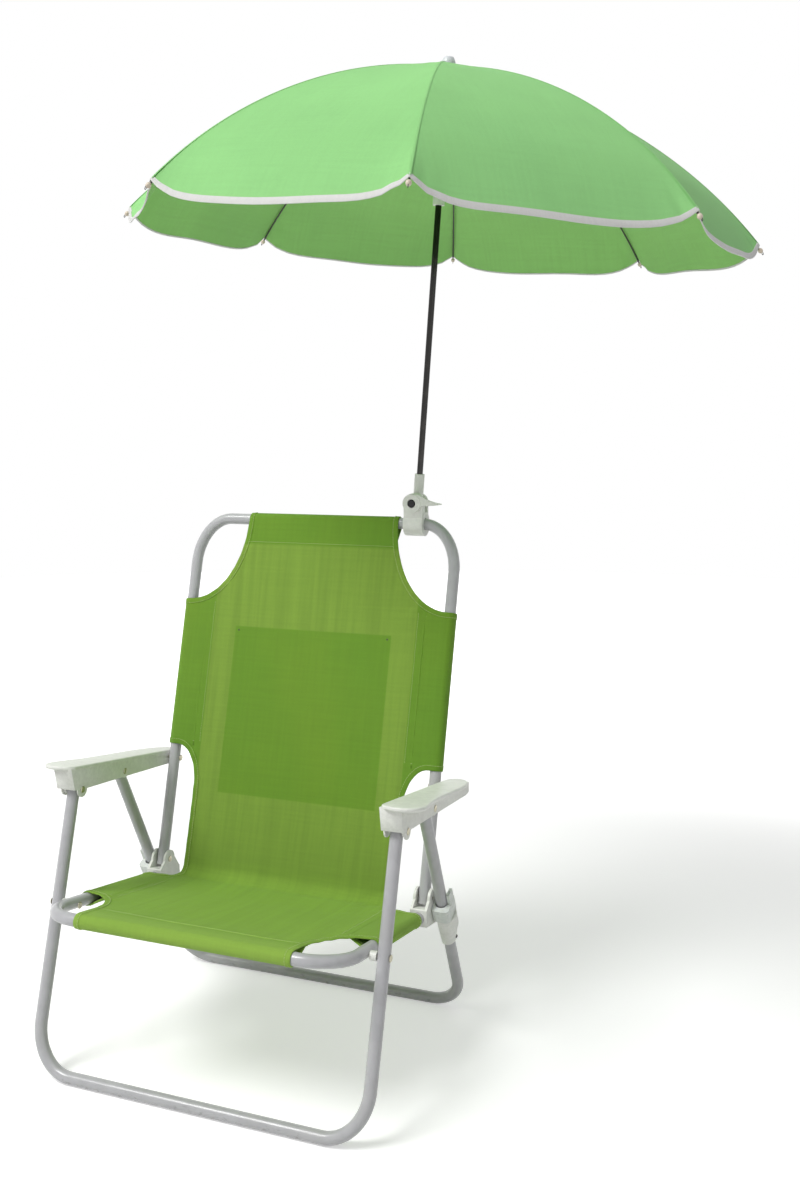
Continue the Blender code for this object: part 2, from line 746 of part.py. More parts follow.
def guide_frame(item):
    """Carry a piece from the guide's own frame, along the leg, to its world place."""
    item.data.transform(Matrix.Translation(GUIDE) @ Matrix.Rotation(REAR_ANGLE, 4, "X"))
    return item


def make_collars(pivots, bracket_face):
    """The pale nylon collar that the rear leg slides through, on each side."""
    inner = bracket_face + GAP - REAR_HALF_WIDTH
    outline = round_rectangle((inner, -COLLAR_HALF_DEPTH), (COLLAR_OUTER, COLLAR_HALF_DEPTH), COLLAR_CORNER)
    item = slab("guide_collar_r", outline, COLLAR_TOP + COLLAR_BOTTOM, PARTS)
    item.data.transform(Matrix.Translation((0, 0, (COLLAR_TOP - COLLAR_BOTTOM) / 2)))
    tab = box("collar_tab", (COLLAR_OUTER - TAB_THICKNESS, COLLAR_HALF_DEPTH - COLLAR_CORNER - TAB_WIDTH, 0),
              (COLLAR_OUTER - GAP, COLLAR_HALF_DEPTH - COLLAR_CORNER, COLLAR_TOP + TAB_HEIGHT), CUTTERS)
    join(item, tab)
    join(item, rod("trunnion", (inner - TRUNNION_LENGTH, 0, 0), (inner + ARM_WALL / 2, 0, 0),
                   TRUNNION_RADIUS, CUTTERS))
    cut(item, leg_bore("collar_bore", -OVERRUN, OVERRUN))
    item = guide_frame(solid(item))
    paint(smooth(item), "clear_nylon")
    mirrored(item, "guide_collar_l", "clear_nylon", pivots[0], mirror_point(GUIDE))
    hang(item, pivots[1], GUIDE)
    return inner


def make_sleeves(pivots, inner):
    """The tapering sleeve under the collar, on each side."""
    top = -COLLAR_BOTTOM - GAP
    wide = (SLEEVE_TOP_WALL + BORE, SLEEVE_TOP_WALL + BORE + GUIDE_SLACK + SLEEVE_END_WALL)
    narrow = (SLEEVE_END_WALL + BORE, SLEEVE_END_WALL + BORE + GUIDE_SLACK)
    shift = inner + wide[0] + GAP
    stages = ((0, wide, shift), (SLEEVE_SHOULDER_SHARE, wide, shift),
              (SLEEVE_NARROW_SHARE, [(a + b) / 2 for a, b in zip(wide, narrow)], shift / 2),
              (1, narrow, 0))
    rings = []
    for share, (half_width, half_depth), across in stages:
        z = top - SLEEVE_LENGTH * share
        rings.append([(x + across, y, z) for x, y in oval(half_width, half_depth)])
    item = loft("guide_sleeve_r", rings, PARTS)
    cut(item, leg_bore("sleeve_bore", top - SLEEVE_LENGTH - OVERRUN, top + OVERRUN))
    item = guide_frame(solid(item))
    paint(smooth(item), "grey_plastic")
    mirrored(item, "guide_sleeve_l", "grey_plastic", pivots[0], mirror_point(GUIDE))
    hang(item, pivots[1], GUIDE)


def arm_top(y):
    """The height of the armrest's top face at a depth."""
    return ARM_REAR_TOP + ARM_SLOPE * (ARM_REAR_Y - y)


def spline_loop(points, steps):
    """A smooth closed loop through points."""
    count = len(points)
    loop = []
    for index in range(count):
        before, start, end, after = (Vector(points[(index + shift) % count]) for shift in (-1, 0, 1, 2))
        for step in range(steps):
            t = step / steps
            bend = 2 * before - 5 * start + 4 * end - after
            twist = 3 * start - before - 3 * end + after
            loop.append((2 * start + (end - before) * t + bend * t ** 2 + twist * t ** 3) / 2)
    return loop


def skirt_outline(depth, inset):
    """The side view of the armrest's walls, or of the pocket inside them."""
    plate = ARM_PLATE / 2 + inset / 2
    front = ARM_FRONT_Y + APRON_BACKSET + inset
    rear = ARM_REAR_Y - ARM_PLATE / 3 - inset
    step = REAR_PIVOT.y + SKIRT_STEP_Y
    toe = front + APRON_LEAN * depth[0] / APRON_DEPTH
    boss = ARM_FRONT_PIVOT.y + ARM_BOSS
    return [(front, arm_top(front) - plate), (toe, arm_top(toe) - depth[0]),
            (boss, arm_top(boss) - depth[0]), (step, arm_top(step) - depth[1]),
            (rear - APRON_RAKE, arm_top(rear - APRON_RAKE) - depth[2]),
            (rear, arm_top(rear) - depth[2] + ARM_PLATE / 2), (rear, arm_top(rear) - plate)]


def make_armrests(pivots):
    """The moulded armrest, an open channel under a paddle, on each side."""
    outer = ARM_INNER + ARM_WIDTH
    depth = (APRON_DEPTH, SKIRT_FRONT_DEPTH - ARM_WALL, SKIRT_DEPTH)
    item = side_slab("armrest_r", skirt_outline(depth, 0), ARM_INNER, outer, PARTS)
    for place, radius in ((ARM_FRONT_PIVOT, ARM_BOSS), (REAR_PIVOT, ARM_REAR_BOSS)):
        join(item, rod("boss", along_x(ARM_INNER + ARM_BOSS_STEP, place),
                       along_x(outer - ARM_BOSS_STEP, place), radius, CUTTERS))
    deep = [depth_ + OVERRUN * 2 for depth_ in depth]
    cut(item, side_slab("pocket", skirt_outline(deep, ARM_WALL), ARM_INNER + ARM_WALL,
                        outer - ARM_WALL, CUTTERS))
    for place, half_width in ((ARM_FRONT_PIVOT, FRONT_HALF_WIDTH), (REAR_PIVOT, REAR_HALF_WIDTH)):
        start = half_width + BORE
        join(item, rod("stud", along_x(start, place), along_x(outer - ARM_WALL / 2, place),
                       ARM_INNER_BOSS, CUTTERS))
    length = ARM_REAR_Y - ARM_FRONT_Y
    corners = [(ARM_INNER - ARM_PLATE_LIP + across * PADDLE_WIDTH, ARM_FRONT_Y + along * length)
               for across, along in PADDLE_SHARES]
    plate = slab("plate", [point[:] for point in spline_loop(corners, 2)], ARM_PLATE, CUTTERS)
    shear = Matrix.Identity(4)
    shear[2][1] = -ARM_SLOPE
    plate.data.transform(Matrix.Translation((0, 0, arm_top(0) - ARM_PLATE / 2)) @ shear)
    join(item, solid(soften(plate, ARM_EDGE)))
    for place in (ARM_FRONT_PIVOT, REAR_PIVOT, ARM_REAR_PIVOT):
        reach = ARM_INNER + ARM_WALL * 2 if place is ARM_REAR_PIVOT else outer + OVERRUN
        drill(item, place, RIVET_RADIUS + GAP, ARM_INNER - OVERRUN, reach)
    item = solid(item)
    paint(smooth(item), "white_plastic")
    mirrored(item, "armrest_l", "white_plastic", pivots[0], mirror_point(ARM_REAR_PIVOT))
    hang(item, pivots[1], ARM_REAR_PIVOT)
    return outer


def make_rivets(seat, back, arms, bracket_face, arm_outer):
    """All the rivets, each on the piece that it is fast in."""
    seat_inner = BACK_HALF_WIDTH - BORE
    leg_outer = FRONT_HALF_WIDTH + BORE
    make_rivet("leg_rivet", LEG_PIVOT, seat_inner, leg_outer, seat)
    bracket_inner = BACK_HALF_WIDTH - BORE - BRACKET_INNER_CHEEK - GAP
    make_rivet("hinge_rivet", BACK_HINGE, bracket_inner, bracket_face - GAP, seat, (True, False))
    make_rivet("arm_rear_rivet", ARM_REAR_PIVOT, seat_inner, ARM_INNER + ARM_WALL + GAP, back,
               (True, True), back.location)
    for name, place in (("arm_front_rivet", ARM_FRONT_PIVOT), ("arm_middle_rivet", REAR_PIVOT)):
        make_rivet(name, place, ARM_INNER - GAP, arm_outer + GAP, arms, (True, True), ARM_REAR_PIVOT)


def panel(name, rows, thickness, paint_name):
    """A cloth panel through rows of points, made thick about its middle."""
    shape = bmesh.new()
    layers = [[shape.verts.new(place) for place in row] for row in rows]
    for lower, upper in zip(layers, layers[1:]):
        for left, right, right_up, left_up in zip(lower, lower[1:], upper[1:], upper):
            shape.faces.new((left, right, right_up, left_up))
    item = mesh_from(name, shape, PARTS)
    thick = item.modifiers.new("Thickness", "SOLIDIFY")
    thick.thickness = thickness
    thick.offset = 0
    item = solid(item)
    return paint(smooth(item), paint_name)


def sling_row(half_width, wrap):
    """Points across the sling as (X, rise): a panel with a turned-down or wrapped edge."""
    reach = half_width - HUG * math.sin(min(wrap, math.pi / 2))
    edge = [(reach + HUG * math.sin(wrap * step / WRAP_STEPS), HUG * math.cos(wrap * step / WRAP_STEPS) - HUG)
            for step in range(1, WRAP_STEPS + 1)]
    middle = []
    for step in range(PANEL_COLUMNS + 1):
        share = 2 * step / PANEL_COLUMNS - 1
        middle.append((share * reach, -SAG * (1 - share ** 2)))
    return [(-x, rise) for x, rise in reversed(edge)] + middle + edge


def bar_wrap_rows(centre, along, rise, half_width, ends):
    """Rows that wrap the sling round a cross bar, between two angles from its upright."""
    rows = []
    for step in range(WRAP_STEPS + 1):
        turn = ends[0] + (ends[1] - ends[0]) * step / WRAP_STEPS
        place = centre + (along * math.sin(turn) + rise * math.cos(turn)) * HUG
        rows.append([place + Vector((x, 0, 0)) for x, _ in sling_row(half_width, EDGE_WRAP)])
    return rows


def side_row(place, rise):
    """One row of the sling, wrapped round both side tubes."""
    row = sling_row(BACK_HALF_WIDTH + HUG, SLEEVE_WRAP)
    return [place + Vector((x, 0, 0)) + rise * (HUG + up) for x, up in row]


def quarter(start, end):
    """A quarter of an ellipse from one point to another, leaving the first along its second axis."""
    points = []
    for step in range(SCALLOP_STEPS + 1):
        turn = math.pi / 2 * step / SCALLOP_STEPS
        points.append((end[0] + (start[0] - end[0]) * math.cos(turn),
                       start[1] + (end[1] - start[1]) * math.sin(turn)))
    return points


def trim_sling(item, outline, place, along):
    """Cut an outline of (X, length) points out of both sides of the sling."""
    rise = Vector((0, -along.z, along.y))
    frame = Matrix.Translation(place) @ Matrix(((1, 0, 0, 0), (0, along.y, rise.y, 0),
                                               (0, along.z, rise.z, 0), (0, 0, 0, 1)))
    for hand in (1, -1):
        cutter = slab("sling_trim", [(x * hand, length) for x, length in outline], OVERRUN * 3, CUTTERS)
        cutter.data.transform(frame)
        cut(item, cutter)
    return item


def make_seat_sling(pivot):
    """The seat's part of the sling: wrapped round the front bar and both side tubes."""
    along = Vector((0, math.cos(SEAT_ANGLE), math.sin(SEAT_ANGLE)))
    rise = Vector((0, -along.z, along.y))
    bar = along_x(0, seat_tube(SEAT_FRONT_Y))
    rows = bar_wrap_rows(bar, -along, rise, FRONT_HALF_HEM + OVERRUN, (BAR_WRAP, 0))
    rows += [side_row(bar + along * length, rise) for length in (SEAT_CUT, SEAT_SLEEVE_START, SEAT_LENGTH)]
    item = panel("seat_sling", rows, SLING, "lime_sling")
    wide = BACK_HALF_WIDTH + OVERRUN
    front = [(wide, -OVERRUN), (wide, SEAT_SLEEVE_START), *reversed(quarter(
        (FRONT_HALF_HEM, SEAT_CUT), (BACK_HALF_WIDTH - BORE, SEAT_SLEEVE_START))), (FRONT_HALF_HEM, -OVERRUN)]
    rear = [(wide, SEAT_LENGTH + OVERRUN), (WAIST_HALF_WIDTH, SEAT_LENGTH + OVERRUN), *quarter(
        (WAIST_HALF_WIDTH, SEAT_LENGTH), (BACK_HALF_WIDTH - BORE, SEAT_SLEEVE_END)), (wide, SEAT_SLEEVE_END)]
    for outline in (front, rear):
        trim_sling(item, outline, bar, along)
    hang(solid(item), pivot)


def back_place(length):
    """A place on the back's centre plane at a length above the hinge."""
    return along_x(0, back_tube(BACK_HINGE_HEIGHT + length / BACK_LENGTH))


def make_back_sling(pivot):
    """The back's part of the sling, with armholes below and scallops at the top corners."""
    along = Vector((0, -math.sin(BACK_ANGLE), math.cos(BACK_ANGLE)))
    rise = Vector((0, -along.z, along.y))
    top = BACK_REACH
    scallop = top - SCALLOP_DROP
    lengths = (BACK_START, ARMHOLE_TOP, scallop, top - SCALLOP_DROP / 4)
    rows = [side_row(back_place(length), rise) for length in lengths]
    rows += bar_wrap_rows(back_place(top), along, rise, TOP_HALF_WIDTH + OVERRUN, (0, BAR_WRAP))
    item = panel("back_sling", rows, SLING, "lime_sling")
    wide = BACK_HALF_WIDTH + OVERRUN
    corner = [(wide, scallop), *reversed(quarter((TOP_HALF_WIDTH, top), (BACK_HALF_WIDTH, scallop))),
              (TOP_HALF_WIDTH, top + OVERRUN), (wide, top + OVERRUN)]
    armhole = [(wide, -OVERRUN), (wide, ARMHOLE_TOP), *reversed(quarter(
        (WAIST_HALF_WIDTH, ARMHOLE_TOP - ARMHOLE_EASE), (BACK_HALF_WIDTH - BORE, ARMHOLE_TOP))),
        (WAIST_HALF_WIDTH, -OVERRUN)]
    for outline in (corner, armhole):
        trim_sling(item, outline, back_place(0), along)
    hang(solid(item), pivot, pivot.location)


def make_pocket(pivot):
    """The flat pocket sewn to the rear of the sling."""
    along = Vector((0, -math.sin(BACK_ANGLE), math.cos(BACK_ANGLE)))
    rise = Vector((0, -along.z, along.y))
    rows = []
    drop = SAG + SLING / 2 + GAP + POCKET_THICKNESS / 2
    for length in (POCKET_TOP - POCKET_HEIGHT, POCKET_TOP):
        row = []
        for step in range(PANEL_COLUMNS + 1):
            share = 2 * step / PANEL_COLUMNS - 1
            row.append(back_place(length) + Vector((share * POCKET_HALF_WIDTH, 0, 0)) + rise * (HUG - drop))
        rows.append(row)
    hang(panel("back_pocket", rows, POCKET_THICKNESS, "lime_sling"), pivot, pivot.location)


def half_ring(name, front, group):
    """Half of the clamp's ring, in the clamp's frame, in front of or behind the bar."""
    inner = TUBE_RADIUS + GAP * 2
    item = turned(name, ring_profile(inner, CLAMP_RADIUS, -CLAMP_WIDTH / 2, CLAMP_WIDTH / 2), group)
    item.data.transform(Matrix.Rotation(math.pi / 2, 4, "Y"))
    hand = 1 if front else -1
    reach = CLAMP_RADIUS + OVERRUN
    low = (-reach, -hand * CLAMP_SPLIT / 2, -reach)
    high = (reach, hand * reach, reach)
    near, far = zip(*(sorted(pair) for pair in zip(low, high)))
    return cut(item, box(name + "_half", near, far, CUTTERS))


def ear_outline(half_width, foot):
    """An ear with a round top about the bolt, in the clamp's (X, Z) plane."""
    outline = [(-half_width, foot), (half_width, foot)]
    steps = CORNER_STEPS * 2
    for step in range(steps + 1):
        turn = math.pi * step / steps
        outline.append((half_width * math.cos(turn), BOLT_RISE + half_width * math.sin(turn)))
    return outline


def upright_slab(name, outline, front, rear, group):
    """An outline of (X, Z) points made thick from one Y to another."""
    item = slab(name, outline, rear - front, group)
    item.data.transform(Matrix.Translation((0, (front + rear) / 2, 0)) @ Matrix.Rotation(math.pi / 2, 4, "X"))
    return item


def make_clamp(clamp):
    """Both halves of the clamp, the bolt, its nut and the wing lever."""
    foot = TUBE_RADIUS + GAP * 4
    split = CLAMP_SPLIT / 2
    socket_front = split + GAP
    socket_rear = socket_front + SOCKET_RADIUS * 2
    front_face = -split - CHEEK_THICKNESS
    rear_face = socket_rear + GAP + REAR_EAR_THICKNESS
    jaw = half_ring("clamp_jaw", True, PARTS)
    join(jaw, upright_slab("front_ear", ear_outline(CHEEK_HALF_WIDTH, foot), front_face, -split, CUTTERS))
    body = half_ring("clamp_body", False, PARTS)
    join(body, upright_slab("rear_ear", ear_outline(REAR_EAR_HALF_WIDTH, 0), socket_rear + GAP, rear_face,
                            CUTTERS))
    cut(body, rod("bar_bore", (-OVERRUN, 0, 0), (OVERRUN, 0, 0), TUBE_RADIUS + GAP * 2, CUTTERS))
    lever_front = front_face - GAP - LEVER_THICKNESS
    head_seat = lever_front + LEVER_POCKET
    for item in (jaw, body):
        cut(item, rod(item.name + "_hole", (0, -OVERRUN * 2, BOLT_RISE), (0, OVERRUN * 2, BOLT_RISE),
                      BOLT_RADIUS + GAP, CUTTERS))
        finished = solid(item)
        paint(smooth(finished), "white_plastic")
        finished.parent = clamp
    bolt_front = head_seat - BOLT_HEAD / 2
    bolt_rear = rear_face + GAP + NUT_THICKNESS + BOLT_HEAD / 2
    bolt = rod("clamp_bolt", (0, bolt_front, BOLT_RISE), (0, bolt_rear, BOLT_RISE), BOLT_RADIUS, PARTS)
    join(bolt, rod("bolt_head", (0, head_seat - BOLT_HEAD, BOLT_RISE), (0, head_seat, BOLT_RISE),
                   BOLT_HEAD_RADIUS, CUTTERS, BOLT_HEAD_SIDES))
    nut_front = rear_face + GAP
    nut = rod("clamp_nut", (0, nut_front, BOLT_RISE), (0, nut_front + NUT_THICKNESS, BOLT_RISE),
              NUT_RADIUS, PARTS, BOLT_HEAD_SIDES)
    cut(nut, rod("nut_hole", (0, nut_front - OVERRUN, BOLT_RISE), (0, nut_front + OVERRUN, BOLT_RISE),
                 BOLT_RADIUS + GAP, CUTTERS))
    place = Vector((0, 0, BOLT_RISE))
    for item in (solid(bolt), solid(nut)):
        paint(item, "dark_steel")
        item.data.transform(Matrix.Translation(-place))
        item.location = place
        item.parent = clamp
    return lever_front, head_seat, front_face


def make_lever(pivot, lever_front, head_seat, front_face):
    """The wing lever on the bolt, in the frame of its own pivot on the bolt."""
    rear = front_face - GAP
    item = rod("clamp_lever", (0, lever_front, 0), (0, rear, 0), LEVER_HUB, PARTS)
    outline = [(along * LEVER_REACH, across * LEVER_HUB) for along, across in WING_SHARES]
    wing_front = lever_front + LEVER_POCKET / 3
    join(item, upright_slab("wing", outline, wing_front, rear - LEVER_POCKET / 6, CUTTERS))
    cut(item, rod("lever_hole", (0, lever_front - OVERRUN, 0), (0, rear + OVERRUN, 0), BOLT_RADIUS + GAP,
                  CUTTERS))
    cut(item, rod("head_pocket", (0, lever_front - OVERRUN, 0), (0, head_seat + GAP, 0),
                  BOLT_HEAD_RADIUS + GAP, CUTTERS))
    item = solid(item)
    paint(smooth(item), "white_plastic")
    item.parent = pivot


def make_socket(tilt):
    """The tube that holds the pole, on the tilt bolt, in the parasol's frame."""
    item = turned("pole_socket", [(0, SOCKET_ABOVE), (SOCKET_RADIUS, SOCKET_ABOVE),
                                  (SOCKET_RADIUS, -SOCKET_BELOW), (0, -SOCKET_BELOW)], PARTS)
    bore_top = SOCKET_ABOVE + OVERRUN
    cut(item, rod("pole_bore", (0, 0, SOCKET_FLOOR), (0, 0, bore_top), POLE_RADIUS + GAP, CUTTERS))
    cut(item, rod("bolt_bore", (0, -OVERRUN, 0), (0, OVERRUN, 0), BOLT_RADIUS + GAP, CUTTERS))
    item = solid(item)
    paint(smooth(item), "white_plastic")
    item.parent = tilt


def notched(item, height, depth):
    """Cut the slots that the ribs or stretchers hinge in, all round a flange."""
    for index in range(RIB_COUNT):
        name = item.name + "_notch"
        slot = box(name, (PIVOT_RADIUS - NOTCH_INSET, -NOTCH / 2, height - depth), (CROWN_RADIUS + OVERRUN,
                   NOTCH / 2, height + depth), CUTTERS)
        slot.data.transform(Matrix.Rotation(rib_turn(index), 4, "Z"))
        cut(item, slot)
    return item


def rib_turn(index):
    """The angle of a rib about the pole."""
    return -math.pi / 2 + RIB_TURN + index * 2 * math.pi / RIB_COUNT


def rib_place(arc, inset):
    """A point under the cloth, by its share of the arc from the pole to the rim."""
    turn = math.asin(CANOPY_RADIUS / SPHERE) * arc
    share = max(0, arc - CANOPY_FLAT_START) / (1 - CANOPY_FLAT_START)
    fall = SPHERE + CANOPY_FLATTENING * 4 * share * (1 - share)
    return Vector(((SPHERE - inset) * math.sin(turn), 0, (SPHERE - inset) * math.cos(turn) - fall))


def rib_path():
    """The rib's centre line in its own plane, from the crown to past the rim."""
    start = math.asin(PIVOT_RADIUS / (SPHERE - PIVOT_DROP)) / math.asin(CANOPY_RADIUS / SPHERE)
    path = []
    for step in range(RIB_POINTS + 1):
        share = step / RIB_POINTS
        inset = PIVOT_DROP + (RIB_INSET - PIVOT_DROP) * share
        path.append(rib_place(start + (1 - start) * share, inset))
    return path


def elbow():
    """The stretcher's pivot under the rib, at its reach from the rib's own pivot."""
    path = rib_path()
    for start, end in zip(path, path[1:]):
        far = (end - path[0]).length
        if far >= ELBOW_REACH:
            near = (start - path[0]).length
            place = start.lerp(end, (ELBOW_REACH - near) / (far - near))
            break
    else:
        place = path[len(path) // 2]
    slope = (end - start).normalized()
    return place + Vector((slope.z, 0, -slope.x)) * ELBOW_INSET


def rib_with_bead(name):
    """One rib wire with the bead on its tip."""
    path = rib_path()
    widths = [1] * len(path)
    out = (path[-1] - path[-2]).normalized()
    tip = path[-1]
    for share, wide in BEAD_SHARES:
        path.append(tip + out * RIB_OVERHANG * share)
        widths.append(max(1, wide * BEAD_RADIUS / RIB_RADIUS))
    return tube(name, path, RIB_RADIUS, WIRE_ROUND_STEPS, PARTS, widths)


def make_ribs(crown):
    """Eight ribs, each with its stretcher hinged under it."""
    base = rib_path()[0]
    knee = elbow()
    foot = Vector((base.x, 0, 2 * knee.z - base.z))
    for index in range(RIB_COUNT):
        number = index + 1
        swing = add_pivot(f"rib_pivot_{number}", Matrix.Rotation(rib_turn(index), 3, "Z") @ base, crown,
                          (0, 0, rib_turn(index)))
        rib = rib_with_bead(f"rib_{number}")
        paint(smooth(rib), "dark_steel")
        hang(rib, swing, base)
        bend = add_pivot(f"stretcher_pivot_{number}", knee - base, swing)
        stretcher = tube(f"stretcher_{number}", [knee, foot], STRETCHER_RADIUS, WIRE_ROUND_STEPS, PARTS)
        paint(smooth(stretcher), "dark_steel")
        hang(stretcher, bend, knee)
    return foot


def make_crown(crown):
    """The notched crown at the top of the pole, in the apex frame."""
    low = -CROWN_TOP - CROWN_HEIGHT
    profile = [(0, -CROWN_TOP), (CROWN_RADIUS, -CROWN_TOP), (CROWN_RADIUS, low), (0, low)]
    item = turned("crown", profile, PARTS)
    cut(item, rod("crown_bore", (0, 0, low - OVERRUN), (0, 0, OVERRUN), POLE_RADIUS + GAP, CUTTERS))
    notched(item, -CROWN_TOP - CROWN_HEIGHT / 2, CROWN_HEIGHT)
    item = solid(item)
    paint(smooth(item), "white_plastic")
    item.parent = crown


def make_runner(crown, foot):
    """The notched runner that slides on the pole, with its flange at the stretchers' feet."""
    pivot = add_pivot("runner_pivot", (0, 0, foot.z), crown)
    low = -RUNNER_HEIGHT
    flange = RUNNER_FLANGE
    item = turned("runner", [(0, flange), (CROWN_RADIUS, flange), (CROWN_RADIUS, -flange),
                             (RUNNER_RADIUS, -flange), (RUNNER_RADIUS, low), (0, low)], PARTS)
    cut(item, rod("runner_bore", (0, 0, low - OVERRUN), (0, 0, OVERRUN), POLE_RADIUS + GAP, CUTTERS))
    notched(item, 0, flange * 2)
    item = solid(item)
    paint(smooth(item), "white_plastic")
    item.parent = pivot


def make_pole(tilt, crown):
    """The chromed pole and the finial over the cloth."""
    pole = rod("pole", (0, 0, SOCKET_FLOOR + GAP), (0, 0, POLE_REACH - CROWN_TOP * 2), POLE_RADIUS, PARTS)
    paint(smooth(pole), "chrome")
    pole.parent = tilt
    neck = FINIAL_RADIUS * FINIAL_NECK_SHARE
    stem_end = -CROWN_TOP * 2 + GAP
    profile = [(0, FINIAL_HEIGHT), (neck, FINIAL_HEIGHT),
               (FINIAL_RADIUS, FINIAL_SEAT + FINIAL_HEIGHT / 2), (FINIAL_RADIUS, FINIAL_SEAT),
               (FINIAL_STEM, FINIAL_SEAT), (FINIAL_STEM, stem_end), (0, stem_end)]
    finial = turned("finial", profile, PARTS)
    paint(smooth(finial), "white_plastic")
    finial.parent = crown


def canopy_place(turn, share):
    """A point of the canopy, by its angle from a rib and its share of the arc to the rim."""
    inner = CANOPY_HOLE / CANOPY_RADIUS
    arc = inner + (1 - inner) * share
    over_rib = rib_place(arc, 0)
    offset = (turn % (2 * HALF_GORE)) - HALF_GORE
    across = offset / HALF_GORE
    chord = math.cos(HALF_GORE) / math.cos(offset)
    drop = max(0, (share - HEM_START_SHARE) / (1 - HEM_START_SHARE)) ** 2 * HEM_DROP * (1 - across ** 4)
    radius = over_rib.x * chord + drop * HEM_FLARE_SHARE
    return radius, over_rib.z - drop


def make_canopy(crown):
    """The canopy: eight gores stretched over the ribs, with a scalloped hem."""
    count = RIB_COUNT * GORE_STEPS
    shape = bmesh.new()
    layers = []
    shares = sorted([CANOPY_FLAT_START] + [row / CANOPY_ROWS for row in range(CANOPY_ROWS + 1)])
    for share in shares:
        layer = []
        for side in range(count):
            turn = 2 * math.pi * side / count
            radius, height = canopy_place(turn, share)
            angle = turn + rib_turn(0)
            layer.append(shape.verts.new((radius * math.cos(angle), radius * math.sin(angle), height)))
        layers.append(layer)
    for inner, outer in zip(layers, layers[1:]):
        for side in range(count):
            after = (side + 1) % count
            shape.faces.new((inner[side], outer[side], outer[after], inner[after]))
    item = mesh_from("canopy", shape, PARTS)
    thick = item.modifiers.new("Thickness", "SOLIDIFY")
    thick.thickness = CLOTH
    thick.offset = 0
    item = solid(item)
    paint(smooth(item), "green_canopy")
    item.parent = crown


def make_chair():
    """The folding chair and its sling. Gives back the back's pivot."""
    seat = add_pivot("seat_root", (0, 0, 0))
    legs = add_pivot("front_leg_pivot", along_x(0, LEG_PIVOT), seat)
    back = add_pivot("back_pivot", along_x(0, BACK_HINGE), seat)
    arms = tuple(add_pivot("arm_pivot_" + hand, along_x(side * ARM_REAR_PIVOT.x, ARM_REAR_PIVOT)
                           - back.location, back) for hand, side in (("l", -1), ("r", 1)))
    guides = tuple(add_pivot("guide_pivot_" + hand, along_x(side * GUIDE.x, GUIDE), seat)
                   for hand, side in (("l", -1), ("r", 1)))
    rear = add_pivot("rear_leg_pivot", REAR_PIVOT - ARM_REAR_PIVOT
                     - Vector((REAR_PIVOT.x, 0, 0)), arms[1])
    make_front_legs(legs)
    make_rear_legs(rear)
    make_seat_frame(seat)
    make_back_frame(back)
    make_spacers(seat)
    face = make_brackets(seat)
    inner = make_collars(guides, face)
    make_sleeves(guides, inner)
    arm_outer = make_armrests(arms)
    make_rivets(seat, back, arms, face, arm_outer)
    make_seat_sling(seat)
    make_back_sling(back)
    make_pocket(back)
    return back


def make_parasol(back):
    """The clamp on the top bar and the parasol in it."""
    bar = along_x(CLAMP_X, back_tube(BACK_TOP_Z))
    clamp = add_pivot("clamp_pivot", bar - back.location, back, (CLAMP_LEAN, 0, 0))
    lever_front, head_seat, front_face = make_clamp(clamp)
    lever = add_pivot("lever_pivot", (0, 0, BOLT_RISE), clamp)
    make_lever(lever, lever_front, head_seat, front_face)
    depth = CLAMP_SPLIT / 2 + GAP + SOCKET_RADIUS
    tilt = add_pivot("tilt_pivot", (0, depth, BOLT_RISE), clamp, (0, PARASOL_LEAN, 0))
    make_socket(tilt)
    crown = add_pivot("apex", (0, 0, POLE_REACH), tilt)
    make_pole(tilt, crown)
    make_crown(crown)
    foot = make_ribs(crown)
    make_runner(crown, foot)
    make_canopy(crown)


def main():
    """Build the whole object."""
    back = make_chair()
    make_parasol(back)
    CUTTERS.hide_render = True


clear_scene()
PARTS = new_collection("umbrella_chair")
CUTTERS = new_collection("cutters")
main()
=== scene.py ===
"""Looks of a folding garden chair with a clamped parasol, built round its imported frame.

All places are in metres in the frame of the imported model: +X to the right in a front view,
+Y from the front of the chair to its back, +Z up, with the front foot bar over the origin.
"""

import math

import bmesh
import bpy
from mathutils import Matrix, Vector, noise

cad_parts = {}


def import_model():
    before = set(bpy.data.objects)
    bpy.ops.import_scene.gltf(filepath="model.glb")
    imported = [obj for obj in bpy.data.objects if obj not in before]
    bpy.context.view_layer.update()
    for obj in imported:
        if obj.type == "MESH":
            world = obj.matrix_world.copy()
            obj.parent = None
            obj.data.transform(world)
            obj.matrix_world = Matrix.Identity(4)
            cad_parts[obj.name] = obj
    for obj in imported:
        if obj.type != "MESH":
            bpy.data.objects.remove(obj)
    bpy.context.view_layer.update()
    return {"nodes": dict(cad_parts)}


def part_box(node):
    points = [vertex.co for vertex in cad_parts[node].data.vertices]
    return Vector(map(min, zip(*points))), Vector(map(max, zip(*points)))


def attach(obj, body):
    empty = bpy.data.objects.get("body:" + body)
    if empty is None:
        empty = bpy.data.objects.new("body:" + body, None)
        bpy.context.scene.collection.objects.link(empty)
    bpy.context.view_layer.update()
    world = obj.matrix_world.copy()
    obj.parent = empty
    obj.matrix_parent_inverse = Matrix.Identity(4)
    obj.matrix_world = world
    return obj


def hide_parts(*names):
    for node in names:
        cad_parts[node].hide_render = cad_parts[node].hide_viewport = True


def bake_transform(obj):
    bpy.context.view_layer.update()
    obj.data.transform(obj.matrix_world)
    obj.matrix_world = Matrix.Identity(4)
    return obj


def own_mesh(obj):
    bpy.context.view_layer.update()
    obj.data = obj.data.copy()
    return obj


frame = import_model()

bl_info = {
    "name": "Umbrella chair",
    "version": (1, 0, 0),
    "blender": (4, 5, 0),
    "location": "View3D > Sidebar > Umbrella chair",
    "description": "Builds the cloth, the fittings and the finishes of a folding chair with a parasol",
    "category": "Object",
}

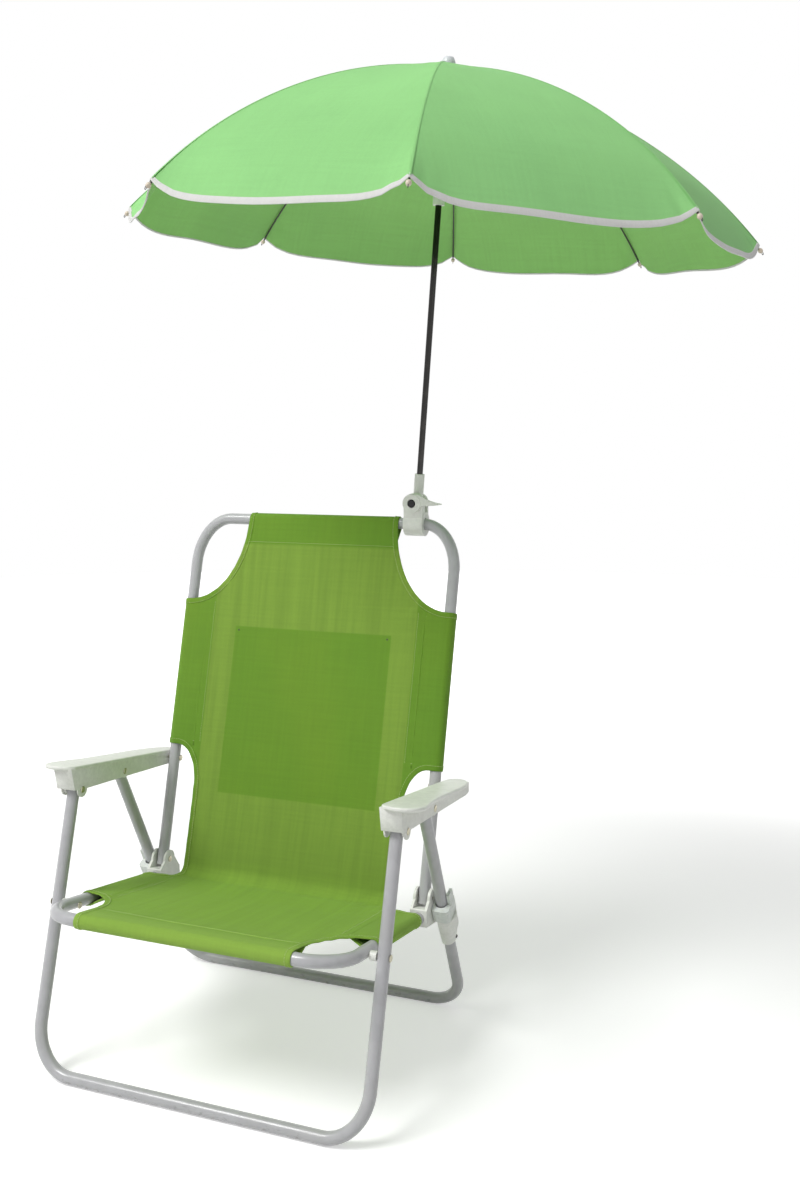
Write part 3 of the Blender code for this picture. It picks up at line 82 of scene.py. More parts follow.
NODES = frame["nodes"]
X_AXIS = Vector((1, 0, 0))

# Frame of the chair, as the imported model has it
TUBE = 0.0085
FOOT_Z = 0.0082
BACK_HALF = 0.216
FRONT_HALF = 0.243
REAR_HALF = 0.2405
REAR_LEAN = 0.490
BACK_LEAN = 0.275
SEAT_FALL = 0.180
SEAT_BAR = Vector((0, -0.010, 0.238999))
HINGE = Vector((0, 0.28679, 0.212477))
TOP_BAR = Vector((0, 0.4296, 0.7318))
REAR_FOOT_Y = 0.38902
LEG_PIVOT = Vector((FRONT_HALF, 0.06444, 0.223))
ARM_FRONT_PIVOT = Vector((FRONT_HALF, 0.10914, 0.372))
REAR_PIVOT = Vector((REAR_HALF, 0.2115, 0.37048))
GUIDE = Vector((REAR_HALF, 0.29749, 0.19498))
SCREW_SIDE = 0.0115
SCREW_DROP = 0.0560
ARM_INNER = 0.2283
ARM_OUTER = 0.2578
ARM_SLOPE = 0.154
ARM_FRONT_Y = 0.08004
ARM_REAR_Y = 0.36199
ARM_REAR_TOP = 0.36778
ARM_PLATE = 0.006
ARM_WALL = 0.0025
PADDLE_WIDTH = 0.0525
APRON_BACKSET = 0.0055
APRON_LEAN = 0.006
APRON_DEPTH = 0.034
APRON_DEPTHS = (APRON_DEPTH, 0.0275, 0.021)
FRONT_BOSS = 0.0105
REAR_BOSS = 0.0095
STUD = 0.007
FRONT_LEG_END = 0.012
REAR_LEG_END = 0.011
SEAT_TUBE_END = 0.0242
BACK_TUBE_END = 0.009
HANDS = (("r", 1, "right"), ("l", -1, "left"))
ON_AXIS = 0.0001
PADDLE_SHARES = (
    (0.00, 0.080), (0.03, 0.042), (0.14, 0.016), (0.38, 0.000), (0.68, 0.004), (0.91, 0.036),
    (1.00, 0.090), (0.99, 0.150), (0.94, 0.215), (0.88, 0.280), (0.84, 0.360), (0.82, 0.460),
    (0.82, 0.620), (0.81, 0.740), (0.76, 0.850), (0.65, 0.930), (0.50, 0.980), (0.34, 1.000),
    (0.16, 0.988), (0.04, 0.940), (0.00, 0.860), (0.00, 0.600), (0.00, 0.300),
)

# Sling: lengths along the cloth run from the seat's front bar to the back's top bar
HUG = 0.0096
CREASE_RADIUS = 0.020
RETURN_TURN = math.radians(208.6)
PLY_STEP = 0.0013
HEM_LAP = 0.004
SLEEVE_EDGE = 0.168
PANEL_EDGE = 0.2072
WAIST = 0.172
TOP_EDGE = 0.1245
FRONT_EDGE = 0.155
NOTCH_START = 0.026
SLEEVE_START = 0.104
SLEEVE_END = 0.262
ARMHOLE_LOW = 0.118
ARMHOLE_TOP = 0.178
SCALLOP_DROP = 0.132
POCKET_HALF = 0.130
POCKET_LOW = 0.111
POCKET_TOP = 0.368
POCKET_HEM = 0.0165
POCKET_SEAM = 0.004
STUD_INSET = 0.006
CLOTH = 0.0010
POCKET_CLOTH = 0.0008

# Parasol
RIB_COUNT = 8
HALF_GORE = math.pi / RIB_COUNT
RIB_TURN = math.radians(15.5)
CANOPY_RADIUS = 0.4515
CANOPY_DEPTH = 0.211
CANOPY_HOLE = 0.0042
HEM_DROP = 0.027
HEM_FLARE = 0.10
HEM_CURVE = 6
HEM_START = 0.80
FLATTENING = 0.012
FLAT_START = 0.04
POLE_REACH = 0.6065
CLAMP_SIDE = 0.150
CLAMP_TURN = math.radians(2.2)
BOLT_PLACE = (0, 0.0081, 0.0320)
SOCKET_TILT = math.radians(4.9)
RIB_ROOT = 0.0125
ROOT_INSET = 0.010
TIP_INSET = 0.0032
RIB_WIRE = 0.0012
TIP_EYE_WIRE = 0.00045
STRETCHER_WIRE = 0.0011
STRETCHER_REACH = 0.250
ELBOW_DROP = 0.0027
PIN_CHAMFER = 0.0003
SPHERE = (CANOPY_RADIUS ** 2 + CANOPY_DEPTH ** 2) / (2 * CANOPY_DEPTH)
ARC = math.asin(CANOPY_RADIUS / SPHERE)


# ---------------------------------------------------------------- settings


def length_setting(name, description, value, low, high):
    """A length among the settings."""
    return bpy.props.FloatProperty(name=name, description=description, default=value,
                                   min=low, max=high, unit="LENGTH")


def share_setting(name, description, value):
    """A share from 0 to 1 among the settings."""
    return bpy.props.FloatProperty(name=name, description=description, default=value,
                                   min=0, max=1, subtype="FACTOR")


def count_setting(name, description, value, low, high):
    """A whole number among the settings."""
    return bpy.props.IntProperty(name=name, description=description, default=value,
                                 min=low, max=high)


def power_setting(name, description, value):
    """A lamp's power among the settings."""
    return bpy.props.FloatProperty(name=name, description=description, default=value,
                                   min=0, max=1000, unit="POWER")


def colour_setting(name, description, value):
    """A colour among the settings."""
    return bpy.props.FloatVectorProperty(name=name, description=description, default=value,
                                         subtype="COLOR", size=3, min=0, max=1)


class ChairFrameSettings(bpy.types.PropertyGroup):
    """Detail of the bent tubes and the moulded fittings."""

    tube_sides: count_setting("Tube sides", "Faces round a frame tube", 32, 12, 96)
    corner_steps: count_setting("Corner steps", "Rings in each bend of a tube", 24, 6, 64)
    edge_radius: length_setting(
        "Edge radius", "Rounding of the edges of moulded pieces", 0.0006, 0.0001, 0.002)
    foot_wear: share_setting(
        "Foot wear", "How much of the paint on the foot bars is scuffed", 0.55)


class SlingSettings(bpy.types.PropertyGroup):
    """Cut, weave and colours of the sling."""

    sag: length_setting("Sag", "How far the cloth hangs in the middle", 0.006, 0, 0.02)
    weave_pitch: length_setting(
        "Weave pitch", "From one thread to the next", 0.0007, 0.0002, 0.003)
    hem_width: length_setting("Hem width", "Width of the folded edge", 0.0085, 0.003, 0.02)
    stitch_pitch: length_setting(
        "Stitch pitch", "From one stitch to the next", 0.0038, 0.002, 0.01)
    # Painted light: the seat's cloth colour is a lighter copy of the single layer, because the seat
    # faces the light from above.
    lit_seat_colour: colour_setting(
        "Seat cloth", "Colour of the seat, the side that is lit from above", (0.250, 0.452, 0.050))
    # Painted highlight: a lighter copy of the cloth where it rolls over the seat's front bar and faces
    # the light.
    roll_highlight_colour: colour_setting(
        "Front roll", "Colour where the cloth is rubbed over the seat's front bar",
        (0.330, 0.540, 0.085))
    cloth_colour: colour_setting("Cloth", "Colour of a single layer", (0.238, 0.400, 0.055))
    doubled_colour: colour_setting(
        "Doubled cloth", "Colour where two layers lie together", (0.150, 0.330, 0.026))
    thread_colour: colour_setting("Thread", "Colour of the stitches", (0.60, 0.74, 0.30))


class ParasolSettings(bpy.types.PropertyGroup):
    """Cut, weave and colours of the parasol."""

    weave_pitch: length_setting(
        "Weave pitch", "From one thread to the next", 0.0004, 0.0002, 0.003)
    tape_width: length_setting("Tape width", "Width of the tape on the hem", 0.0062, 0.002, 0.02)
    gore_dip: length_setting("Gore dip", "How far a gore dips between its ribs", 0.0022, 0, 0.02)
    cloth_colour: colour_setting("Cloth", "Colour of the canopy", (0.320, 0.720, 0.270))
    # Painted light: the underside is a lighter, more saturated copy of the canopy cloth, standing in
    # for light that shines through it.
    lit_inside_colour: colour_setting("Inside", "Colour of the canopy's underside", (0.360, 0.740, 0.235))
    tape_colour: colour_setting("Tape", "Colour of the hem tape", (0.78, 0.79, 0.80))
    bead_colour: colour_setting("Bead", "Colour of the beads on the rib tips", (0.72, 0.62, 0.50))


class FinishSettings(bpy.types.PropertyGroup):
    """Colours of the paint, the mouldings and the metal."""

    enamel_colour: colour_setting("Enamel", "Paint on the frame tubes", (0.47, 0.47, 0.49))
    plastic_colour: colour_setting("Moulding", "White mouldings", (0.83, 0.84, 0.79))
    nylon_colour: colour_setting("Nylon", "Milky nylon collars", (0.72, 0.76, 0.72))
    zinc_colour: colour_setting("Zinc", "Plating on the rivets", (0.50, 0.47, 0.36))
    # Painted reflection: the pole's chrome gets a near-black colour, standing in for the dark
    # surroundings it reflects.
    pole_reflection_colour: colour_setting("Pole", "Dark chrome of the pole", (0.030, 0.029, 0.028))


class StudioSettings(bpy.types.PropertyGroup):
    """Camera, lamps and backdrop."""

    lens: bpy.props.FloatProperty(
        name="Lens", description="Focal length", default=34.80, min=10, max=200, unit="CAMERA")
    key_power: power_setting("Key lamp", "Power of the lamp high in front on the left", 262)
    fill_power: power_setting("Fill lamp", "Power of the lamp on the right", 2.5)
    sky_level: bpy.props.FloatProperty(
        name="Sky level", description="Even light from all round", default=0.36, min=0, max=2)
    floor_glow: share_setting(
        "Floor glow", "How far the floor near the chair is lifted towards white", 0.42)
    floor_colour: colour_setting("Floor", "Colour of the floor", (0.84, 0.84, 0.84))


def settings(name):
    """One group of settings of the scene."""
    return getattr(bpy.context.scene, name)


def setting_colour(group, name):
    """A colour of the settings as plain numbers."""
    return tuple(getattr(settings(group), name))


# ---------------------------------------------------------------- shader helpers


class Tree:
    """Lays out and joins the nodes of one shader tree."""

    def __init__(self, tree):
        self.tree = tree
        self.count = 0

    def add(self, kind, feeds=None, **values):
        """A node with its settings and what its sockets are fed."""
        node = self.tree.nodes.new(kind)
        node.location = (220 * (self.count % 8), -220 * (self.count // 8))
        self.count += 1
        for name, value in values.items():
            setattr(node, name, value)
        for socket, value in (feeds or {}).items():
            self.feed(node.inputs[socket], value)
        return node

    def feed(self, target, value):
        """Join a socket to another, or give it a constant."""
        if isinstance(value, bpy.types.NodeSocket):
            self.tree.links.new(value, target)
        elif target.type == "RGBA":
            target.default_value = (*value[:3], 1)
        else:
            target.default_value = value

    def maths(self, operation, *values):
        """The result of a Math node."""
        return self.add("ShaderNodeMath", dict(enumerate(values)), operation=operation).outputs[0]

    def chain(self, operation, values, clamp=False):
        """One Math operation carried through several values."""
        result = values[0]
        for value in values[1:]:
            result = self.maths(operation, result, value)
        result.node.use_clamp = clamp
        return result

    def times(self, *values, clamp=False):
        """The product of values."""
        return self.chain("MULTIPLY", values, clamp)

    def plus(self, *values):
        """The sum of values."""
        return self.chain("ADD", values)

    def most(self, *values):
        """The largest of values."""
        return self.chain("MAXIMUM", values)

    def blend(self, share, first, second, mode="MIX"):
        """Two colours mixed by a share."""
        node = self.add("ShaderNodeMix", data_type="RGBA", blend_type=mode)
        for index, value in ((0, share), (6, first), (7, second)):
            self.feed(node.inputs[index], value)
        return node.outputs[2]

    def ramp(self, value, low, high, start=0.0, end=1.0):
        """A value brought smoothly from one range to another."""
        node = self.add("ShaderNodeMapRange", {"Value": value, "From Min": low, "From Max": high,
                                               "To Min": start, "To Max": end},
                        interpolation_type="SMOOTHSTEP")
        return node.outputs["Result"]

    def mottled(self, value, spread, colour, dark, light):
        """A colour that wavers between a darker and a lighter shade of itself."""
        return self.blend(self.ramp(value, *spread), shaded(colour, dark), shaded(colour, light))

    def place(self, scale=(1, 1, 1), source="Object"):
        """Places on the piece, stretched by a scale."""
        if source == "cloth":
            start = self.add("ShaderNodeUVMap", uv_map="cloth").outputs["UV"]
        else:
            start = self.add("ShaderNodeTexCoord").outputs[source]
        return self.add("ShaderNodeMapping", {"Vector": start, "Scale": scale}).outputs["Vector"]

    def parts(self, vector):
        """The X, Y and Z of a place."""
        return self.add("ShaderNodeSeparateXYZ", {"Vector": vector}).outputs

    def noise(self, vector, scale, detail=3.0, roughness=0.5):
        """A cloudy value from 0 to 1."""
        return self.add("ShaderNodeTexNoise", {"Vector": vector, "Scale": scale, "Detail": detail,
                                               "Roughness": roughness}).outputs["Fac"]

    def use(self, group, **feeds):
        """The outputs of an effect placed in a material."""
        return self.add("ShaderNodeGroup", feeds, node_tree=group).outputs


GROUPS = {}
PAINTS = {}
SOIL_COLOUR = (0.52, 0.50, 0.44)
DUST_COLOUR = (0.46, 0.44, 0.40)
BARE_STEEL = (0.20, 0.19, 0.18)
SOFT_EDGE = 0.0012


def shaded(colour, factor):
    """A lighter or darker shade of a colour."""
    return [min(1, value * factor) for value in colour]


def effect(name, inputs, outputs, build):
    """A node group with named sockets, built once."""
    if name not in GROUPS:
        group = bpy.data.node_groups.new(name, "ShaderNodeTree")
        kinds = {float: "NodeSocketFloat", tuple: "NodeSocketColor"}
        for label, default in inputs.items():
            socket = group.interface.new_socket(name=label, in_out="INPUT",
                                                socket_type=kinds[type(default)])
            socket.default_value = (*default, 1) if isinstance(default, tuple) else default
        for label, kind in outputs.items():
            group.interface.new_socket(name=label, in_out="OUTPUT", socket_type=kinds[kind])
        tree = Tree(group)
        start = tree.add("NodeGroupInput")
        end = tree.add("NodeGroupOutput")
        for label, result in build(tree, start.outputs).items():
            tree.feed(end.inputs[label], result)
        GROUPS[name] = group
    return GROUPS[name]


def woven_effect():
    """Plain weave in the cloth's own lengths, with slubs along the threads."""
    def build(tree, given):
        spot = tree.parts(tree.place(source="cloth"))
        runs = [tree.maths("DIVIDE", spot[axis], given["Pitch"]) for axis in "XY"]
        over = tree.maths("WRAP", tree.plus(*(tree.maths("FLOOR", run) for run in runs)), 2.0, 0.0)
        warp, weft = (tree.maths("SINE", tree.times(tree.maths("FRACT", run), math.pi))
                      for run in runs)
        height = tree.plus(tree.times(warp, over),
                           tree.times(weft, tree.maths("SUBTRACT", 1.0, over)))
        slubs = (tree.noise(tree.place(scale, "cloth"), 1.0, 2.0)
                 for scale in ((260, 9, 1), (9, 260, 1)))
        uneven = tree.ramp(tree.plus(*slubs), 0.7, 1.3, -1.0, 1.0)
        shade = tree.plus(tree.ramp(height, 0.0, 0.8, 0.80, 1.06),
                          tree.times(uneven, given["Slubs"]))
        threads = tree.blend(over, given["Warp"], given["Weft"])
        colour = tree.add("ShaderNodeVectorMath", {0: threads, "Scale": shade}, operation="SCALE")
        return {"Colour": colour.outputs["Vector"], "Height": height}
    return effect("Woven cloth", {"Pitch": 0.0007, "Warp": (0.3, 0.4, 0.1), "Weft": (0.3, 0.4, 0.1),
                                  "Slubs": 0.035}, {"Colour": tuple, "Height": float}, build)


def soiling_effect():
    """Faint handling marks and dust in broad soft patches."""
    def build(tree, given):
        patch = tree.ramp(tree.noise(tree.place(), given["Scale"], 4.0, 0.62), 0.48, 0.75)
        fine = tree.noise(tree.place(), tree.times(given["Scale"], 9.0), 3.0, 0.7)
        speck = tree.ramp(fine, 0.60, 0.72, 0.0, 0.6)
        return {"Mask": tree.times(tree.most(patch, speck), given["Amount"], clamp=True)}
    return effect("Soiling", {"Scale": 14.0, "Amount": 0.4}, {"Mask": float}, build)


def edge_wear_effect():
    """Marks on corners and rims, broken up so that they look rubbed."""
    def build(tree, given):
        rim = tree.add("ShaderNodeNewGeometry").outputs["Pointiness"]
        edge = tree.ramp(rim, 0.515, 0.575)
        broken = tree.ramp(tree.noise(tree.place(), 220.0, 4.0, 0.65), 0.42, 0.62)
        return {"Mask": tree.times(edge, broken, given["Amount"], clamp=True)}
    return effect("Edge wear", {"Amount": 0.5}, {"Mask": float}, build)


def skin_effect():
    """The fine uneven skin of a moulding or a coat of paint."""
    def build(tree, given):
        pebble = tree.noise(tree.place(), given["Grain"], 2.0, 0.5)
        wave = tree.noise(tree.place(), tree.times(given["Grain"], 0.12), 2.0, 0.5)
        return {"Height": tree.plus(pebble, wave), "Mottle": tree.ramp(wave, 0.3, 0.7, -1.0, 1.0)}
    return effect("Moulded skin", {"Grain": 900.0}, {"Height": float, "Mottle": float}, build)


def scratch_effect():
    """Fine scratches along and across a rubbed metal face."""
    def build(tree, given):
        long = tree.noise(tree.place((1, 1, 0.02)), given["Scale"], 3.0, 0.6)
        short = tree.noise(tree.place((0.08, 1, 1)), tree.times(given["Scale"], 0.6), 2.0, 0.6)
        return {"Mask": tree.ramp(tree.most(long, short), 0.55, 0.8),
                "Height": tree.plus(long, short)}
    return effect("Scratches", {"Scale": 900.0}, {"Mask": float, "Height": float}, build)


def kept(build):
    """Let a finish be made once by its name and given back after that."""
    def finish(name, *values, **more):
        if name not in PAINTS:
            PAINTS[name] = build(name, *values, **more)
        return PAINTS[name]
    return finish


def new_paint(name, colour, roughness, metallic=0.0, **plain):
    """A material with its shader; plain gives constants for the shader's other sockets."""
    paint = bpy.data.materials.new(name)
    paint.use_nodes = True
    tree = Tree(paint.node_tree)
    shader = paint.node_tree.nodes["Principled BSDF"]
    tree.feed(shader.inputs["Base Color"], colour)
    shader.inputs["Roughness"].default_value = roughness
    shader.inputs["Metallic"].default_value = metallic
    for label, value in plain.items():
        tree.feed(shader.inputs[label.replace("_", " ")], value)
    return paint, tree, shader


def surface(tree, shader, colour, roughness, height, distance, strength):
    """Join a paint's colour, roughness and relief to its shader."""
    tree.feed(shader.inputs["Base Color"], colour)
    if roughness is not None:
        tree.feed(shader.inputs["Roughness"], roughness)
    node = tree.add("ShaderNodeBump", {"Height": height, "Distance": distance, "Strength": strength})
    tree.feed(shader.inputs["Normal"], node.outputs["Normal"])


@kept
def plastic(name, colour, roughness=0.42, grain=900.0, soil=0.22, **plain):
    """Moulded plastic: uneven skin, rubbed edges and handling marks."""
    paint, tree, shader = new_paint(name, colour, roughness, **plain)
    skin = tree.use(skin_effect(), Grain=grain)
    marks = tree.use(soiling_effect(), Scale=26.0, Amount=soil)["Mask"]
    wear = tree.use(edge_wear_effect(), Amount=0.45)["Mask"]
    shade = tree.mottled(skin["Mottle"], (-1.0, 1.0), colour, 0.965, 1.03)
    marked = tree.blend(tree.times(marks, 0.5), shade, SOIL_COLOUR)
    rough = tree.plus(tree.times(marks, 0.22), tree.times(skin["Mottle"], 0.03), roughness)
    surface(tree, shader, tree.blend(wear, marked, shaded(colour, 0.86)), rough,
            skin["Height"], 0.00006, 0.5)
    return paint


@kept
def enamel(name, colour):
    """White enamel on the tubes, with faint runs, dust and scuffed foot bars."""
    paint, tree, shader = new_paint(name, colour, 0.30, Coat_Weight=0.25, Coat_Roughness=0.12)
    skin = tree.use(skin_effect(), Grain=420.0)
    marks = tree.use(soiling_effect(), Scale=9.0, Amount=0.5)["Mask"]
    low = tree.ramp(tree.parts(tree.place())["Z"], 0.004, 0.016, 1.0, 0.0)
    chips = tree.ramp(tree.noise(tree.place((0.5, 1, 1)), 170.0, 5.0, 0.7), 0.56, 0.62)
    scuff = tree.times(low, chips, settings("chair_frame").foot_wear)
    shade = tree.mottled(skin["Mottle"], (-1.0, 1.0), colour, 0.96, 1.03)
    dusty = tree.blend(tree.times(marks, 0.35), shade, DUST_COLOUR)
    rough = tree.plus(tree.times(marks, 0.25), 0.28, tree.times(scuff, 0.3))
    surface(tree, shader, tree.blend(scuff, dusty, BARE_STEEL), rough,
            tree.maths("SUBTRACT", skin["Height"], scuff), 0.00008, 0.45)
    return paint


@kept
def metal(name, colour, roughness, scale=900.0, dull=0.35, tint=(0.10, 0.08, 0.06), metallic=1.0,
          **plain):
    """Worked metal: fine scratches, dull patches and a little tarnish."""
    paint, tree, shader = new_paint(name, colour, roughness, metallic, **plain)
    lines = tree.use(scratch_effect(), Scale=scale)
    marks = tree.use(soiling_effect(), Scale=60.0, Amount=dull)["Mask"]
    rough = tree.plus(tree.times(marks, 0.25), tree.times(lines["Mask"], 0.12), roughness)
    surface(tree, shader, tree.blend(tree.times(marks, 0.5), colour, tint), rough,
            lines["Height"], 0.00003, 0.4)
    return paint


@kept
def cloth(name, colour, pitch, layers=None, roughness=0.78, slubs=0.035, sheen=0.25):
    """Woven cloth; layers may darken it where it lies double."""
    paint, tree, shader = new_paint(name, colour, roughness, Sheen_Weight=sheen,
                                    Sheen_Roughness=0.5, Specular_IOR_Level=0.25)
    tree.feed(shader.inputs["Sheen Tint"], [min(1, value + 0.35) for value in colour])
    base = layers(tree) if layers else colour
    second = tree.blend(0.5, base, tree.blend(1.0, base, (1.0, 0.93, 0.80), "MULTIPLY"))
    weave = tree.use(woven_effect(), Pitch=pitch, Warp=base, Weft=second, Slubs=slubs)
    marks = tree.use(soiling_effect(), Scale=7.0, Amount=0.35)["Mask"]
    worn = tree.blend(1.0, weave["Colour"], (0.88, 0.90, 0.92), "MULTIPLY")
    rough = tree.ramp(weave["Height"], 0.0, 1.0, roughness + 0.1, roughness - 0.04)
    surface(tree, shader, tree.blend(marks, weave["Colour"], worn), rough,
            weave["Height"], pitch * 0.32, 0.7)
    return paint


@kept
def thread(name, colour):
    """Sewing thread with its twist."""
    paint, tree, shader = new_paint(name, colour, 0.7, Sheen_Weight=0.3)
    twist = tree.noise(tree.place(), 2600.0, 1.0)
    surface(tree, shader, tree.mottled(twist, (0.35, 0.65), colour, 0.75, 1.15), None,
            twist, 0.00008, 0.6)
    return paint


def sling_layers(tree):
    """The sling's colour, greener where hems, sleeves and the pocket lie behind the front layer, with
    painted light: a lighter seat, a painted highlight on the front roll and painted shade on the back
    towards the crease.
    """
    look = settings("chair_sling")
    spot = tree.parts(tree.place(source="cloth"))
    across = tree.maths("ABSOLUTE", spot["X"])
    along = spot["Y"]
    soft = SOFT_EDGE

    def past(value, edge):
        return tree.ramp(value, edge - soft, edge + soft)

    def before(value, edge):
        return tree.ramp(value, edge - soft, edge + soft, 1.0, 0.0)

    pocket = tree.times(before(across, POCKET_HALF), past(along, back_length(POCKET_LOW)),
                        before(along, back_length(POCKET_TOP)))
    top_hem = TRACK_TOP - TOUCH - HEM_LAP
    top = tree.ramp(along, top_hem - soft * 3, top_hem + soft)
    doubled = tree.most(pocket, past(across, SLEEVE_EDGE), top, before(along, TOUCH + HEM_LAP))
    doubled = tree.times(doubled, tree.ramp(along, SEAT_STRAIGHT, SEAT_STRAIGHT + 0.08, 0.22, 1.0))
    streaks = tree.noise(tree.place((70, 2.5, 1), "cloth"), 1.0, 3.0, 0.6)
    broad = tree.noise(tree.place((5, 3, 1), "cloth"), 1.0, 3.0, 0.5)
    streaked = (0.35, 0.65)
    double = tree.blend(tree.ramp(broad, 0.3, 0.7), tuple(look.doubled_colour),
                        [v * w for v, w in zip(look.doubled_colour, (1.22, 1.06, 1.1))])
    # Painted shade: the back darkens towards its crease with the seat, blended halfway to 0.78 of the
    # cloth colour.
    crease = tree.ramp(along, SEAT_STRAIGHT + 0.02, back_length(POCKET_LOW) + 0.02, 1.0, 0.0)
    back = tree.blend(tree.times(crease, 0.5),
                      tree.mottled(streaks, streaked, look.cloth_colour, 0.93, 1.06),
                      shaded(look.cloth_colour, 0.78))
    # Painted light: the seat is a lighter copy of the cloth, as it faces the light from above, and the
    # front roll gets a painted highlight.
    seat = tree.blend(tree.ramp(along, 0.004, TOUCH + HEM_LAP, 1.0, 0.0),
                      tree.mottled(streaks, streaked, look.lit_seat_colour, 0.95, 1.04),
                      tuple(look.roll_highlight_colour))
    plain = tree.blend(tree.ramp(along, SEAT_STRAIGHT - 0.02, SEAT_STRAIGHT + 0.05), seat, back)
    return tree.blend(tree.times(doubled, 0.92), plain, double)


def fading(colour):
    """A layer of broad soft fading over a cloth's colour."""
    def layers(tree):
        broad = tree.noise(tree.place((4, 4, 4)), 1.0, 3.0, 0.5)
        return tree.mottled(broad, (0.3, 0.7), colour, 0.96, 1.04)
    return layers


def white_moulding():
    """White polypropylene of the armrests, brackets and clamp."""
    return plastic("white_moulding", setting_colour("chair_finish", "plastic_colour"), 0.40)


def milky_nylon():
    """The milky nylon of the guide collars."""
    return plastic("milky_nylon", setting_colour("chair_finish", "nylon_colour"), 0.30, 1400.0, 0.25,
                   Subsurface_Weight=0.15, Subsurface_Radius=(0.004, 0.004, 0.003))


def zinc():
    """Zinc plating on the rivets."""
    return metal("zinc_rivet", setting_colour("chair_finish", "zinc_colour"), 0.30,
                 tint=(0.30, 0.24, 0.12))


def dark_wire():
    """Oiled black wire of the ribs and stretchers."""
    return metal("dark_wire", (0.075, 0.072, 0.070), 0.34, dull=0.5, tint=(0.05, 0.035, 0.025),
                 metallic=0.9)


# ---------------------------------------------------------------- mesh helpers


class Shell:
    """Collects places and faces of one piece before it becomes a mesh."""

    def __init__(self):
        self.places = []
        self.faces = []
        self.paints = []
        self.corners = []

    def add(self, places, faces, paint=0, corners=None):
        """Add a part of the piece; corners give each face's places on the flat cloth."""
        start = len(self.places)
        self.places += [tuple(place) for place in places]
        self.faces += [tuple(start + index for index in face) for face in faces]
        self.paints += [paint] * len(faces)
        self.corners += corners if corners else [None] * len(faces)

    def add_cloth(self, places, faces, spots):
        """Add a part of which each place is known on the flat cloth too."""
        self.add(places, faces, 0, [[spots[index] for index in face] for face in faces])

    def mesh(self, name):
        """The finished mesh, with its flat cloth places where they were given."""
        mesh = bpy.data.meshes.new(name)
        mesh.from_pydata(self.places, [], self.faces)
        mesh.polygons.foreach_set("material_index", self.paints)
        if any(self.corners):
            layer = mesh.uv_layers.new(name="cloth")
            for polygon, spots in zip(mesh.polygons, self.corners):
                if spots:
                    for index, spot in zip(polygon.loop_indices, spots):
                        layer.data[index].uv = spot
        return mesh


def new_piece(name, mesh, paints, body=None, replaces=(), angle=38):
    """An object from a mesh, painted, smoothed and set on the body that carries it."""
    for paint in paints:
        mesh.materials.append(paint)
    mesh.shade_smooth()
    mesh.set_sharp_from_angle(angle=math.radians(angle))
    item = bpy.data.objects.new(name, mesh)
    bpy.context.scene.collection.objects.link(item)
    if body:
        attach(item, body)
    if replaces:
        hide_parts(*replaces)
    return item


def finished(item):
    """Swap a piece's mesh for the one that its modifiers make."""
    bpy.context.view_layer.update()
    view = bpy.context.evaluated_depsgraph_get()
    mesh = bpy.data.meshes.new_from_object(item.evaluated_get(view))
    item.modifiers.clear()
    item.data = mesh


def tidy_normals(mesh):
    """Turn the faces of a closed mesh outwards."""
    shape = bmesh.new()
    shape.from_mesh(mesh)
    bmesh.ops.recalc_face_normals(shape, faces=shape.faces)
    shape.to_mesh(mesh)
    shape.free()


def closed_piece(shell, name, paints, body=None, replaces=()):
    """A piece from a closed shell, with its faces turned outwards."""
    mesh = shell.mesh(name)
    tidy_normals(mesh)
    return new_piece(name, mesh, paints, body, replaces)


def thicken(item, depth):
    """Give a sheet of cloth its thickness, half of it to each side."""
    thick = item.modifiers.new("Thickness", "SOLIDIFY")
    thick.thickness = depth
    thick.offset = 0
    finished(item)


def ring_faces(rings, sides, capped=True):
    """Quads between rings of places that lie one after another."""
    faces = []
    for start in range(0, (rings - 1) * sides, sides):
        after = start + sides
        for side in range(sides):
            turn = (side + 1) % sides
            faces.append((start + side, start + turn, after + turn, after + side))
    if capped:
        faces.append(tuple(reversed(range(sides))))
        faces.append(tuple((rings - 1) * sides + side for side in range(sides)))
    return faces


def bar_places(path, radii, sides, up=None):
    """Rings of places round a path, turned as little as possible from one to the next."""
    places = []
    path = [Vector(point) for point in path]
    radii = radii if isinstance(radii, (list, tuple)) else [radii] * len(path)
    side_way = None
    for index, point in enumerate(path):
        before = path[max(0, index - 1)]
        after = path[min(len(path) - 1, index + 1)]
        ahead = (after - before).normalized()
        if side_way is None:
            guess = up or (Vector((0, 0, 1)) if abs(ahead.z) < 0.9 else Vector((0, 1, 0)))
            side_way = ahead.cross(guess).normalized()
        side_way = (side_way - ahead * side_way.dot(ahead)).normalized()
        rise = side_way.cross(ahead)
        for side in range(sides):
            turn = 2 * math.pi * side / sides
            places.append(point + (side_way * math.cos(turn) + rise * math.sin(turn)) * radii[index])
    return places


def add_bar(shell, path, radii, sides):
    """Add a round bar along a path."""
    shell.add(bar_places(path, radii, sides), ring_faces(len(path), sides))


def add_turned(shell, profile, stand, sides=32):
    """Add a turned part from (radius, height) points and the matrix that stands it up."""
    places = []
    for radius, height in profile:
        for side in range(sides):
            turn = 2 * math.pi * side / sides
            places.append(stand @ Vector((radius * math.cos(turn), radius * math.sin(turn), height)))
    shell.add(places, ring_faces(len(profile), sides))


def along_x(place):
    """A matrix that lays a turned part's height along X."""
    return Matrix.Translation(Vector(place)) @ Matrix.Rotation(math.pi / 2, 4, "Y")


def aimed(place, ahead):
    """A matrix that lays a turned part's height along a direction."""
    return Matrix.Translation(place) @ ahead.to_track_quat("Z", "Y").to_matrix().to_4x4()


